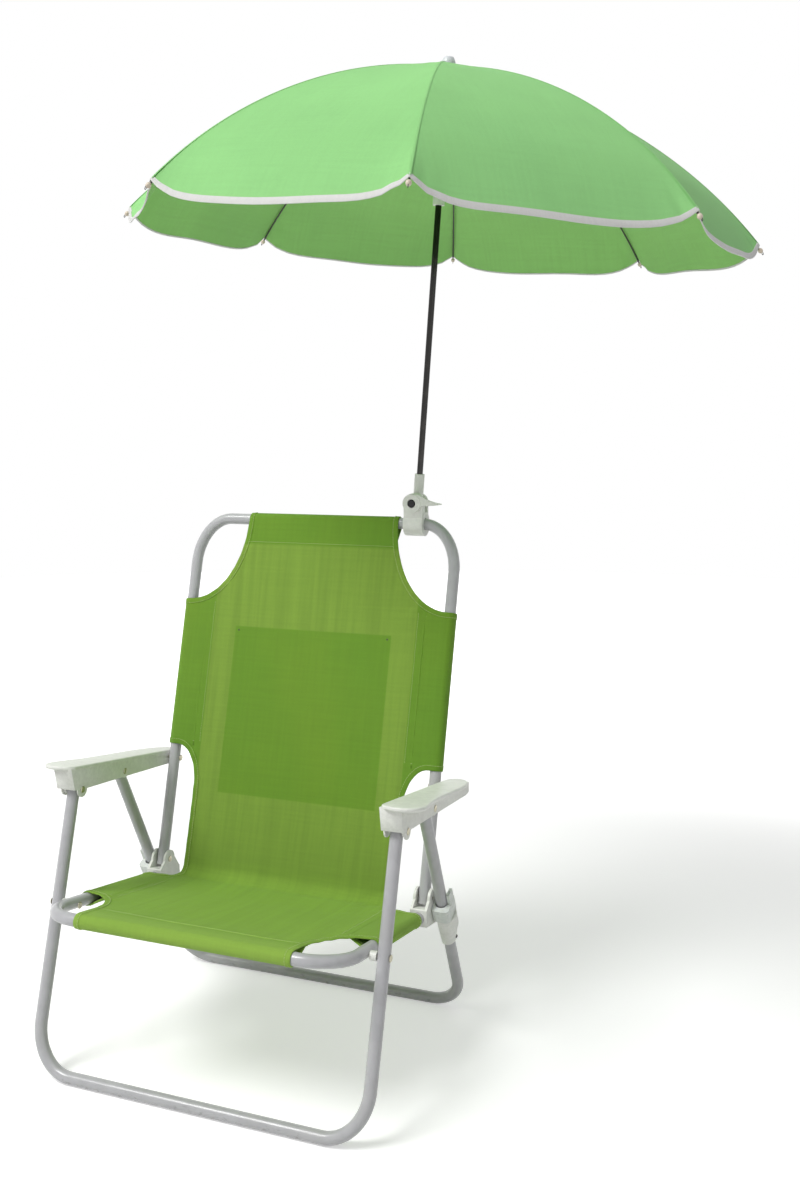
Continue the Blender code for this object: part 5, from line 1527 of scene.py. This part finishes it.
class UMBRELLACHAIR_OT_pocket(bpy.types.Operator):
    """Build the flat pocket sewn behind the back"""

    bl_idname = "umbrella_chair.pocket"
    bl_label = "Pocket"

    def execute(self, context):
        look = settings("chair_sling")
        fabric = cloth("lime_pocket_cloth", tuple(look.cloth_colour), look.weave_pitch)
        columns = 40
        rows = 34
        places = []
        spots = []
        for row in range(rows + 1):
            length = POCKET_LOW + (POCKET_TOP - POCKET_LOW) * row / rows
            for column in range(columns + 1):
                across = POCKET_HALF * (2 * column / columns - 1)
                places.append(pocket_place(across, length))
                spots.append((across, length))
        faces = [(r * (columns + 1) + c, r * (columns + 1) + c + 1, (r + 1) * (columns + 1) + c + 1,
                  (r + 1) * (columns + 1) + c) for r in range(rows) for c in range(columns)]
        shell = Shell()
        shell.add_cloth(places, faces, spots)
        pocket = new_piece("rear_pocket", shell.mesh("rear_pocket"), [fabric], None,
                           ["back_pocket"])
        thicken(pocket, POCKET_CLOTH)
        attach(pocket, "back")
        trim = Shell()
        inner = POCKET_HALF - POCKET_SEAM
        outline = [Vector((-inner, POCKET_TOP)), Vector((-inner, POCKET_LOW + POCKET_SEAM)),
                   Vector((inner, POCKET_LOW + POCKET_SEAM)), Vector((inner, POCKET_TOP))]
        hem_line = [Vector((-inner, POCKET_TOP - 0.015)), Vector((inner, POCKET_TOP - 0.015))]
        for line in (outline, hem_line):
            for start, end in zip(line, line[1:]):
                count = max(1, round((end - start).length / look.stitch_pitch))
                for step in range(count):
                    first = start.lerp(end, (step + 0.17) / count)
                    last = start.lerp(end, (step + 0.83) / count)
                    add_stitch(trim, pocket_place(first.x, first.y, -0.00045),
                               pocket_place(last.x, last.y, -0.00045), -BACK_RISE)
        hem = Shell()
        low = POCKET_TOP - POCKET_HEM
        high = POCKET_TOP + 0.0004
        section = ((low, -0.0004), (low, -0.00095), ((low + high) / 2, -0.00105), (high, -0.0009),
                   (high + 0.0003, 0.0), (high, 0.0006), (low, 0.0006))
        band = []
        flat = []
        for column in range(columns + 1):
            across = (POCKET_HALF + 0.0002) * (2 * column / columns - 1)
            for length, lift in section:
                band.append(pocket_place(across, length, lift))
                flat.append((across, length))
        hem.add_cloth(band, ring_faces(columns + 1, len(section)), flat)
        top = closed_piece(hem, "pocket_hem", [fabric], "back")
        sewing = new_piece("pocket_stitching", trim.mesh("pocket_stitching"),
                           [thread("lime_thread", tuple(look.thread_colour))], "back")
        eyelets = Shell()
        stud_rows = [(ON_AXIS, -0.0003), (0.0011, -0.0003), (0.0014, 0.0), (0.0013, 0.0003),
                     (0.0008, 0.0004), (0.0004, 0.0001), (ON_AXIS, 0.0001)]
        for hand in (1, -1):
            for behind in (1, -1):
                spot = Vector((hand * (POCKET_HALF - STUD_INSET), back_length(POCKET_TOP - STUD_INSET)))
                centre = sling_place(spot.x, spot.y, behind * (0.0006 if behind > 0 else 0.0044))
                add_turned(eyelets, stud_rows, aimed(centre, BACK_RISE * behind), 16)
        studs = closed_piece(eyelets, "pocket_studs", [metal("dark_stud", (0.08, 0.09, 0.06), 0.4)],
                             "back")
        return {"FINISHED"}


# ---------------------------------------------------------------- parasol


def parasol_frame():
    """The matrix of the parasol's apex, from the bar through the clamp and the tilt bolt."""
    bar = Matrix.Translation((CLAMP_SIDE, TOP_BAR.y, TOP_BAR.z))
    lean = Matrix.Rotation(CLAMP_TURN, 4, "X")
    bolt = Matrix.Translation(BOLT_PLACE) @ Matrix.Rotation(SOCKET_TILT, 4, "Y")
    return bar @ lean @ bolt @ Matrix.Translation((0, 0, POLE_REACH))


APEX = parasol_frame()


def rib_turn(index):
    """The angle of a rib about the pole."""
    return -math.pi / 2 + RIB_TURN + index * 2 * HALF_GORE


def rib_place(arc, inset):
    """A point under the cloth in a rib's own plane, by its share of the arc to the rim."""
    turn = ARC * arc
    share = max(0, arc - FLAT_START) / (1 - FLAT_START)
    fall = SPHERE + FLATTENING * 4 * share * (1 - share)
    return Vector(((SPHERE - inset) * math.sin(turn), 0, (SPHERE - inset) * math.cos(turn) - fall))


def rib_path(points):
    """The rib's centre line in its own plane."""
    start = math.asin(RIB_ROOT / (SPHERE - ROOT_INSET)) / ARC
    path = []
    for step in range(points + 1):
        share = step / points
        inset = ROOT_INSET + (TIP_INSET - ROOT_INSET) * share
        path.append(rib_place(start + (1 - start) * share, inset))
    return path


def canopy_place(turn, share, lift=0.0):
    """A place on the canopy in the apex frame, by its angle from rib 1 and its share of the arc."""
    inner = CANOPY_HOLE / CANOPY_RADIUS
    arc = inner + (1 - inner) * share
    over_rib = rib_place(arc, 0)
    offset = (turn % (2 * HALF_GORE)) - HALF_GORE
    across = offset / HALF_GORE
    chord = math.cos(HALF_GORE) / math.cos(offset)
    gore = int((turn % (2 * math.pi)) / (2 * HALF_GORE))
    wave = 1 + 0.05 * math.sin(across * 5 + gore * 2.1) * (1 - across ** 2)
    drop = max(0, (share - HEM_START) / (1 - HEM_START)) ** 2 * HEM_DROP
    drop *= (1 - across ** HEM_CURVE) * wave
    dip = settings("chair_parasol").gore_dip * (1 - across ** 2)
    dip *= math.sin(math.pi * min(1, share)) ** 2
    edge = 1 - abs(across)
    pucker = math.exp(-((edge - 0.10) / 0.07) ** 2) * ease(share, 0.90, 1.0)
    swell = 0.0016 * pucker * math.sin(edge * 46 + gore * 1.3)
    uneven = 0.0006 * (1 - across ** 2) * noise.noise(Vector((across * 3 + gore * 7, share * 6, 2.0)))
    radius = over_rib.x * chord + drop * HEM_FLARE
    angle = turn + rib_turn(0)
    out = Vector((math.cos(angle), math.sin(angle), 0))
    normal = (out * math.sin(ARC * arc) + Vector((0, 0, 1)) * math.cos(ARC * arc))
    if share > HEM_START:
        down = ease(share, HEM_START, 1.0) * (1 - across ** HEM_CURVE) * 0.45
        normal = (normal + out * down).normalized()
    return out * radius + Vector((0, 0, over_rib.z - drop)) + normal * (lift - dip + swell + uneven)


def canopy_normal(turn, share):
    """The canopy's upward normal, from the places close by."""
    step = 0.002
    high = min(1, share + step)
    low = max(0, share - step)
    ahead = canopy_place(turn, high) - canopy_place(turn, low)
    side = canopy_place(turn + step, share) - canopy_place(turn - step, share)
    normal = side.cross(ahead)
    if normal.length < 1e-12:
        return Vector((0, 0, 1))
    normal.normalize()
    return normal if normal.z > -0.2 else -normal


def gore_spot(turn, share, gore):
    """A place on one gore's flat cloth."""
    middle = (gore + 0.5) * 2 * HALF_GORE
    off = turn - middle
    radius = rib_place(share, 0).x
    return (radius * math.sin(off) + 0.5 * gore, SPHERE * ARC * share * math.cos(off * 0.5))


SECTOR_COLUMNS = 12
SECTOR_ROWS = 30
CANOPY_CLOTH = 0.0007
TOP_RADIUS = 0.0165
TOP_COLUMNS = 64
TOP_ROWS = 3


def share_at(radius):
    """The share of the canopy's arc at a distance from the pole."""
    inner = CANOPY_HOLE / CANOPY_RADIUS
    return (math.asin(radius / SPHERE) / ARC - inner) / (1 - inner)


def sector_share(row):
    """Rows of a sector, from the round top to the hem."""
    start = share_at(TOP_RADIUS)
    return start + (1 - start) * (row / SECTOR_ROWS) ** 0.9


def sector_turn(index, column):
    """The turn of a sector's column; columns stand closer together beside the rib."""
    share = math.copysign((abs(column) / SECTOR_COLUMNS) ** 1.6, column)
    return (index + 0.5 * share) * 2 * HALF_GORE


def add_sector(shell, index):
    """One sheet of the canopy, from the middle of a gore over its rib to the middle of the next."""
    places = []
    normals = []
    turns = [sector_turn(index, column) for column in range(-SECTOR_COLUMNS, SECTOR_COLUMNS + 1)]
    for lift in (CANOPY_CLOTH / 2, -CANOPY_CLOTH / 2):
        for row in range(SECTOR_ROWS + 1):
            for turn in turns:
                share = sector_share(row)
                normal = canopy_normal(turn, share)
                places.append(APEX @ (canopy_place(turn, share) + normal * lift))
                normals.append((APEX.to_3x3() @ normal) * (1 if lift > 0 else -1))
    wide = len(turns)
    layer = wide * (SECTOR_ROWS + 1)
    faces = []
    corners = []
    paints = []
    for row in range(SECTOR_ROWS):
        for column in range(wide - 1):
            gore = index - 1 if column < SECTOR_COLUMNS else index
            square = [(row, column), (row + 1, column), (row + 1, column + 1), (row, column + 1)]
            spots = [gore_spot(turns[c], sector_share(r), gore) for r, c in square]
            face = [r * wide + c for r, c in square]
            faces.append(tuple(face))
            corners.append(spots)
            faces.append(tuple(layer + corner for corner in reversed(face)))
            corners.append(list(reversed(spots)))
            paints += [0, 1]
    rim = [(0, c) for c in range(wide)] + [(r, wide - 1) for r in range(1, SECTOR_ROWS + 1)]
    rim += [(SECTOR_ROWS, c) for c in reversed(range(wide - 1))]
    rim += [(r, 0) for r in reversed(range(1, SECTOR_ROWS))]
    for (r0, c0), (r1, c1) in zip(rim, rim[1:] + rim[:1]):
        start = r0 * wide + c0
        end = r1 * wide + c1
        faces.append((start, end, layer + end, layer + start))
        corners.append([gore_spot(turns[c], sector_share(r), index) for r, c in
                        ((r0, c0), (r1, c1), (r1, c1), (r0, c0))])
    shell.add(places, faces, 0, corners)
    shell.paints[:len(paints)] = paints
    return normals


def add_top(shell):
    """The round of cloth that stays clamped under the finial, with its normals."""
    places = []
    normals = []
    spots = []
    for lift in (CANOPY_CLOTH / 2, -CANOPY_CLOTH / 2):
        for row in range(TOP_ROWS + 1):
            share = share_at(CANOPY_HOLE + (TOP_RADIUS - CANOPY_HOLE) * row / TOP_ROWS)
            for column in range(TOP_COLUMNS):
                turn = 2 * math.pi * column / TOP_COLUMNS
                normal = canopy_normal(turn, share)
                place = canopy_place(turn, share) + normal * lift
                places.append(APEX @ place)
                normals.append((APEX.to_3x3() @ normal) * (1 if lift > 0 else -1))
                spots.append((place.x, place.y))
    layer = TOP_COLUMNS * (TOP_ROWS + 1)
    faces = []
    for row in range(TOP_ROWS):
        for column in range(TOP_COLUMNS):
            after = (column + 1) % TOP_COLUMNS
            start = row * TOP_COLUMNS
            below = start + TOP_COLUMNS
            face = (start + column, below + column, below + after, start + after)
            faces.append(face)
            faces.append(tuple(layer + corner for corner in reversed(face)))
    flat = len(faces)
    for column in range(TOP_COLUMNS):
        after = (column + 1) % TOP_COLUMNS
        rim = layer - TOP_COLUMNS
        faces.append((rim + column, layer + rim + column, layer + rim + after, rim + after))
        faces.append((column, after, layer + after, layer + column))
    shell.add_cloth(places, faces, spots)
    shell.paints[:flat] = [0, 1] * (flat // 2)
    return normals, flat


def fold_with_rib(item, index):
    """Carry a piece of the canopy on a rib, with a mesh of its own."""
    number = index + 1
    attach(item, f"rib_{number}")
    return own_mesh(item)


def add_strip(shell, index, rows):
    """A closed band along a sector's hem, from rows of (share, distance in from the hem, lift)."""
    places = []
    spots = []
    columns = SECTOR_COLUMNS
    for column in range(-columns, columns + 1):
        turn = sector_turn(index, column)
        for inset, lift in rows:
            share = 1 - inset / (SPHERE * ARC)
            normal = canopy_normal(turn, min(1, share))
            place = canopy_place(turn, min(1, share)) + normal * lift
            if share > 1:
                place += (canopy_place(turn, 1) - canopy_place(turn, 0.995)).normalized() * -inset
            places.append(APEX @ place)
            spots.append((turn * CANOPY_RADIUS, -inset))
    faces = ring_faces(columns * 2 + 1, len(rows))
    shell.add_cloth(places, faces, spots)


class UMBRELLACHAIR_OT_canopy(bpy.types.Operator):
    """Build the canopy with its seams and its taped hem"""

    bl_idname = "umbrella_chair.canopy"
    bl_label = "Canopy"

    def execute(self, context):
        look = settings("chair_parasol")
        fabric = cloth("green_canopy_cloth", tuple(look.cloth_colour), look.weave_pitch,
                       fading(look.cloth_colour), roughness=0.70, slubs=0.02, sheen=0.04)
        # Painted light: the underside uses the lighter inside colour, standing in for light through the
        # cloth.
        lit_lining = cloth("green_canopy_inside", tuple(look.lit_inside_colour), look.weave_pitch,
                       fading(look.lit_inside_colour), roughness=0.70, slubs=0.03, sheen=0.10)
        tape = cloth("white_hem_tape", tuple(look.tape_colour), 0.0005, None, 0.5, 0.03, 0.1)
        sewing = thread("green_thread", (0.24, 0.56, 0.20))
        shell = Shell()
        normals, tops = add_top(shell)
        top = new_piece("canopy_top", shell.mesh("canopy_top"), [fabric, lit_lining], "pole",
                        [], 80)
        set_normals(top.data, normals, tops)
        for index in range(RIB_COUNT):
            number = index + 1
            shell = Shell()
            normals = add_sector(shell, index)
            mesh = shell.mesh(f"canopy_{number}")
            item = new_piece(f"canopy_{number}", mesh, [fabric, lit_lining], None,
                             ["canopy"] if index == 0 else [], 80)
            set_normals(item.data, normals, SECTOR_ROWS * SECTOR_COLUMNS * 2 * 2)
            band = Shell()
            width = look.tape_width
            add_strip(band, index, [(width, 0.0003), (width, 0.0009), (0.0002, 0.0009),
                                    (-0.0006, 0.0004), (-0.0006, -0.0004), (0.0002, -0.0008),
                                    (0.0016, -0.0008), (0.0016, -0.0003)])
            strip = closed_piece(band, f"hem_tape_{number}", [tape], None)
            seam = Shell()
            add_rib_seam(seam, index)
            ridge = closed_piece(seam, f"rib_seam_{number}", [fabric, sewing], None)
            for part in (item, strip, ridge):
                fold_with_rib(part, index)
            sector_area(item.data)
        return {"FINISHED"}


def sector_area(mesh):
    """The area of a sector's upper face."""
    count = SECTOR_ROWS * SECTOR_COLUMNS * 2
    return sum(mesh.polygons[2 * face].area for face in range(count))


def set_normals(mesh, normals, tops):
    """Shade a sector as part of the whole canopy, so that no line shows between sectors."""
    custom = []
    for polygon in mesh.polygons:
        for loop in polygon.loop_indices:
            vertex = mesh.loops[loop].vertex_index
            custom.append(normals[vertex] if polygon.index < tops else polygon.normal.copy())
    mesh.normals_split_custom_set([tuple(normal) for normal in custom])


def add_rib_seam(shell, index):
    """The felled seam over a rib: a low ridge with a row of stitches each side."""
    turn = index * 2 * HALF_GORE
    rows = 40
    places = []
    spots = []
    half = 0.0019
    angle = rib_turn(index)
    side = Vector((-math.sin(angle), math.cos(angle), 0))
    section = [(-half, -0.0001), (-half * 0.8, 0.00022), (0, 0.00036), (half * 0.8, 0.00022),
               (half, -0.0001), (0, -0.0004)]
    centre = []
    for row in range(rows + 1):
        share = 0.03 + 0.965 * row / rows
        place = canopy_place(turn, share)
        ahead = canopy_place(turn, min(1, share + 0.01)) - canopy_place(turn, share - 0.01)
        normal = side.cross(ahead).normalized()
        normal = normal if normal.z > 0 else -normal
        centre.append((place, normal))
        for across, lift in section:
            places.append(APEX @ (place + side * across + normal * (lift + CANOPY_CLOTH / 2)))
            spots.append((across, share * SPHERE * ARC))
    faces = ring_faces(rows + 1, len(section))
    shell.add_cloth(places, faces, spots)
    pitch = 0.0034
    for hand in (1, -1):
        for (low, normal), (high, _) in zip(centre, centre[1:]):
            count = max(1, round((high - low).length / pitch))
            for step in range(count):
                first = low.lerp(high, (step + 0.2) / count) + side * hand * 0.0012
                last = low.lerp(high, (step + 0.8) / count) + side * hand * 0.0012
                lift = normal * (CANOPY_CLOTH / 2 + 0.00026)
                path = [APEX @ (first + lift * 0.8), APEX @ (first.lerp(last, 0.5) + lift * 1.15),
                        APEX @ (last + lift * 0.8)]
                places = bar_places(path, [0.00010, 0.00016, 0.00010], 4)
                shell.add(places, ring_faces(3, 4), 1)


def pin_rows(radius, neck, half):
    """The profile of a short pin with chamfered ends, about its middle."""
    return [(ON_AXIS, -half), (neck, -half), (radius, -half + PIN_CHAMFER),
            (radius, half - PIN_CHAMFER), (neck, half), (ON_AXIS, half)]


def elbow():
    """The stretcher's pivot under the rib, in the rib's own plane."""
    path = rib_path(12)
    for start, end in zip(path, path[1:]):
        far = (end - path[0]).length
        if far >= STRETCHER_REACH:
            near = (start - path[0]).length
            place = start.lerp(end, (STRETCHER_REACH - near) / (far - near))
            slope = (end - start).normalized()
            return place + Vector((slope.z, 0, -slope.x)) * ELBOW_DROP, slope
    raise RuntimeError("the rib is too short for its stretcher")


class UMBRELLACHAIR_OT_ribs(bpy.types.Operator):
    """Build the ribs with their beads, and the stretchers under them"""

    bl_idname = "umbrella_chair.ribs"
    bl_label = "Ribs and stretchers"

    def execute(self, context):
        bead = plastic("cream_bead", setting_colour("chair_parasol", "bead_colour"), 0.35, 1400.0, 0.3)
        path = rib_path(40)
        knee, slope = elbow()
        base = path[0]
        foot = Vector((base.x, 0, 2 * knee.z - base.z))
        out = (path[-1] - path[-2]).normalized()
        tip = path[-1]
        for index in range(RIB_COUNT):
            number = index + 1
            turn = APEX @ Matrix.Rotation(rib_turn(index), 4, "Z")
            shell = Shell()
            line = [turn @ point for point in path] + [turn @ (tip + out * 0.0098)]
            add_bar(shell, line, RIB_WIRE, 14)
            across = turn.to_3x3() @ Vector((0, 1, 0))
            loop = []
            for step in range(15):
                angle = math.pi * 2 * step / 14 * 0.92
                spot = tip + out * (0.0104 + 0.0016 * (1 - math.cos(angle)))
                spot += Vector((0, 0, 1)) * 0.0016 * math.sin(angle)
                loop.append(turn @ spot)
            add_bar(shell, loop, TIP_EYE_WIRE, 8)
            add_turned(shell, pin_rows(0.0021, 0.0018, 0.0024), aimed(turn @ base, across), 16)
            saddle = knee - Vector((slope.z, 0, -slope.x)) * 0.0014
            add_bar(shell, [turn @ (saddle - slope * 0.0045), turn @ (saddle - slope * 0.0036),
                            turn @ (saddle + slope * 0.0036), turn @ (saddle + slope * 0.0045)],
                    [0.0013, 0.0019, 0.0019, 0.0013], 14)
            closed_piece(shell, f"rib_wire_{number}", [dark_wire()], f"rib_{number}",
                         [f"rib_{number}"])
            ball = Shell()
            shares = ((0.30, 0.42), (0.36, 0.70), (0.45, 0.93), (0.56, 1.0), (0.68, 0.97),
                      (0.80, 0.80), (0.87, 0.52), (0.90, 0.36))
            rows = [(0.0034 * wide, 0.012 * share) for share, wide in shares]
            rows = [(0.00125, 0.0034)] + rows + [(0.00125, 0.0109)]
            add_turned(ball, rows, aimed(turn @ tip, turn.to_3x3() @ out), 24)
            closed_piece(ball, f"rib_bead_{number}", [bead], f"rib_{number}")
            stay = Shell()
            add_bar(stay, [turn @ knee, turn @ knee.lerp(foot, 0.02), turn @ knee.lerp(foot, 0.5),
                           turn @ knee.lerp(foot, 0.98), turn @ foot], STRETCHER_WIRE, 14)
            for place, radius in ((knee, 0.0020), (foot, 0.0018)):
                add_turned(stay, pin_rows(radius, radius * 0.85, 0.0016),
                           aimed(turn @ place, across), 16)
            closed_piece(stay, f"stay_{number}", [dark_wire()], f"stretcher_{number}",
                         [f"stretcher_{number}"])
        return {"FINISHED"}


class UMBRELLACHAIR_OT_pole(bpy.types.Operator):
    """Build the pole and the finial, and finish the crown and the runner"""

    bl_idname = "umbrella_chair.pole"
    bl_label = "Pole"

    def execute(self, context):
        # Painted reflection: the dark colour stands in for the dark surroundings the chrome reflects.
        chrome = metal("dark_chrome", setting_colour("chair_finish", "pole_reflection_colour"), 0.16, 500.0, 0.4,
                       (0.10, 0.09, 0.08), 0.95, Coat_Weight=0.2, Coat_Roughness=0.08)
        base = APEX @ Matrix.Translation((0, 0, -POLE_REACH))
        end = POLE_REACH - 0.0036
        shell = Shell()
        rows = [(ON_AXIS, 0.0123), (0.0040, 0.0123), (0.0045, 0.0128)]
        rows += [(0.0045, 0.0128 + (end - 0.0141) * step / 12) for step in range(1, 13)]
        rows += [(0.0041, end), (0.0001, end)]
        add_turned(shell, rows, base, 40)
        closed_piece(shell, "pole_tube", [chrome], "pole", ["pole"])
        cap = Shell()
        rows = [(ON_AXIS, 0.0150), (0.0052, 0.0150), (0.0066, 0.0147), (0.0073, 0.0140),
                (0.0088, 0.0110), (0.0097, 0.0088), (0.0100, 0.0078), (0.0100, 0.0019),
                (0.0097, 0.0014), (0.0092, 0.0012), (0.0031, 0.0012), (0.0030, 0.0009),
                (0.0030, -0.0033), (ON_AXIS, -0.0033)]
        add_turned(cap, rows, APEX, 40)
        closed_piece(cap, "finial_cap", [plastic("pale_finial", (0.70, 0.72, 0.76), 0.35)], "pole",
                     ["finial"])
        edge = settings("chair_frame").edge_radius
        for node in ("crown", "runner"):
            dress(node, white_moulding(), edge * 0.6)
        return {"FINISHED"}


# ---------------------------------------------------------------- stage


def ray_share(tree):
    """1 for rays that show the backdrop directly or in a reflection, 0 for the rest."""
    light = tree.add("ShaderNodeLightPath").outputs
    return tree.most(light["Is Camera Ray"], light["Is Glossy Ray"], light["Is Transmission Ray"])


def add_lamp(name, place, goal, size, power, colour):
    """A soft round lamp that looks at a place."""
    data = bpy.data.lights.new(name, "AREA")
    data.shape = "DISK"
    data.size = size
    data.energy = power
    data.color = colour
    lamp = bpy.data.objects.new(name, data)
    lamp.location = place
    lamp.rotation_euler = (Vector(goal) - Vector(place)).to_track_quat("-Z", "Y").to_euler()
    bpy.context.scene.collection.objects.link(lamp)


FLOOR_MIDDLE = (0.05, 0.2)
FLOOR_RADII = (0.6, 1.2, 2.0, 3.5, 6.0)
FLOOR_SIDES = 64
FLOOR_LEVEL = -0.0004
LAMP_GOAL = (0.05, 0.15, 0.50)
KEY_PLACE = (-2.25, -2.65, 5.3)
FILL_PLACE = (2.4, -1.2, 1.3)
CAMERA_PLACE = (0.7473, -1.1966, 0.8595)
CAMERA_TURN = (math.radians(82.05), 0, math.radians(21.03))


def add_floor(shell):
    """A round floor of rings about its middle, a hair under the chair's feet."""
    places = [(*FLOOR_MIDDLE, FLOOR_LEVEL)]
    for radius in FLOOR_RADII:
        for step in range(FLOOR_SIDES):
            turn = 2 * math.pi * step / FLOOR_SIDES
            places.append((FLOOR_MIDDLE[0] + radius * math.cos(turn),
                           FLOOR_MIDDLE[1] + radius * math.sin(turn), FLOOR_LEVEL))
    faces = []
    for step in range(FLOOR_SIDES):
        after = (step + 1) % FLOOR_SIDES
        faces.append((0, 1 + step, 1 + after))
        for inner in range(1, (len(FLOOR_RADII) - 1) * FLOOR_SIDES, FLOOR_SIDES):
            outer = inner + FLOOR_SIDES
            faces.append((inner + step, outer + step, outer + after, inner + after))
    shell.add(places, faces)


class UMBRELLACHAIR_OT_stage(bpy.types.Operator):
    """Set up the floor, the lamps, the backdrop and the camera"""

    bl_idname = "umbrella_chair.stage"
    bl_label = "Studio"

    def execute(self, context):
        look = settings("chair_studio")
        scene = context.scene
        scene.view_settings.view_transform = "Standard"
        world = bpy.data.worlds.new("pale_studio")
        scene.world = world
        world.use_nodes = True
        tree = Tree(world.node_tree)
        sky = world.node_tree.nodes["Background"]
        sky.inputs["Color"].default_value = (1, 1, 1, 1)
        level = tree.ramp(ray_share(tree), 0.0, 1.0, look.sky_level, 1.0)
        tree.feed(sky.inputs["Strength"], level)
        shell = Shell()
        add_floor(shell)
        paint, tree, shader = new_paint("pale_floor", tuple(look.floor_colour), 0.9,
                                        Specular_IOR_Level=0.1)
        spot = tree.add("ShaderNodeVectorMath", {0: tree.place(), 1: (*FLOOR_MIDDLE, 0.0)},
                        operation="DISTANCE")
        far = tree.ramp(spot.outputs["Value"], 0.7, 2.4)
        glow = tree.times(ray_share(tree), tree.ramp(far, 0.0, 1.0, look.floor_glow, 1.0))
        tint = tree.blend(glow, (0.0, 0.0, 0.0), (1.0, 1.0, 1.0))
        tree.feed(shader.inputs["Emission Color"], tint)
        shader.inputs["Emission Strength"].default_value = 1.0
        floor = new_piece("floor", shell.mesh("floor"), [paint])
        add_lamp("key_lamp", KEY_PLACE, LAMP_GOAL, 2.6, look.key_power, (1.0, 1.0, 0.99))
        add_lamp("fill_lamp", FILL_PLACE, LAMP_GOAL, 2.0, look.fill_power, (0.98, 0.98, 1.0))
        data = bpy.data.cameras.new("camera")
        data.lens = look.lens
        data.sensor_width = 36
        data.shift_x = 0.001
        data.clip_start = 0.05
        data.clip_end = 50
        camera = bpy.data.objects.new("camera", data)
        camera.location = CAMERA_PLACE
        camera.rotation_euler = CAMERA_TURN
        scene.collection.objects.link(camera)
        scene.camera = camera
        return {"FINISHED"}


# ---------------------------------------------------------------- add-on


OPERATORS = (
    UMBRELLACHAIR_OT_tubes, UMBRELLACHAIR_OT_armrests, UMBRELLACHAIR_OT_fittings,
    UMBRELLACHAIR_OT_rivets, UMBRELLACHAIR_OT_clamp, UMBRELLACHAIR_OT_sling,
    UMBRELLACHAIR_OT_pocket, UMBRELLACHAIR_OT_ribs, UMBRELLACHAIR_OT_canopy,
    UMBRELLACHAIR_OT_pole, UMBRELLACHAIR_OT_stage,
)
GROUPS_OF_SETTINGS = {
    "chair_frame": ChairFrameSettings,
    "chair_sling": SlingSettings,
    "chair_parasol": ParasolSettings,
    "chair_finish": FinishSettings,
    "chair_studio": StudioSettings,
}


class UMBRELLACHAIR_PT_panel(bpy.types.Panel):
    """The sizes, colours and build steps of the chair"""

    bl_label = "Umbrella chair"
    bl_idname = "UMBRELLACHAIR_PT_panel"
    bl_space_type = "VIEW_3D"
    bl_region_type = "UI"
    bl_category = "Umbrella chair"

    def draw(self, context):
        for name, group in GROUPS_OF_SETTINGS.items():
            box = self.layout.box()
            box.label(text=name.replace("_", " ").capitalize())
            for label in group.__annotations__:
                box.prop(getattr(context.scene, name), label)
        for operator in OPERATORS:
            self.layout.operator(operator.bl_idname)


def register():
    """Register the settings, the operators and the panel."""
    for name, group in GROUPS_OF_SETTINGS.items():
        bpy.utils.register_class(group)
        setattr(bpy.types.Scene, name, bpy.props.PointerProperty(type=group))
    for operator in OPERATORS:
        bpy.utils.register_class(operator)
    bpy.utils.register_class(UMBRELLACHAIR_PT_panel)


def unregister():
    """Remove what register() added."""
    bpy.utils.unregister_class(UMBRELLACHAIR_PT_panel)
    for operator in reversed(OPERATORS):
        bpy.utils.unregister_class(operator)
    for name, group in reversed(GROUPS_OF_SETTINGS.items()):
        delattr(bpy.types.Scene, name)
        bpy.utils.unregister_class(group)


def main():
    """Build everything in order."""
    register()
    for operator in OPERATORS:
        group, step = operator.bl_idname.split(".")
        getattr(getattr(bpy.ops, group), step)()


if __name__ == "__main__":
    main()
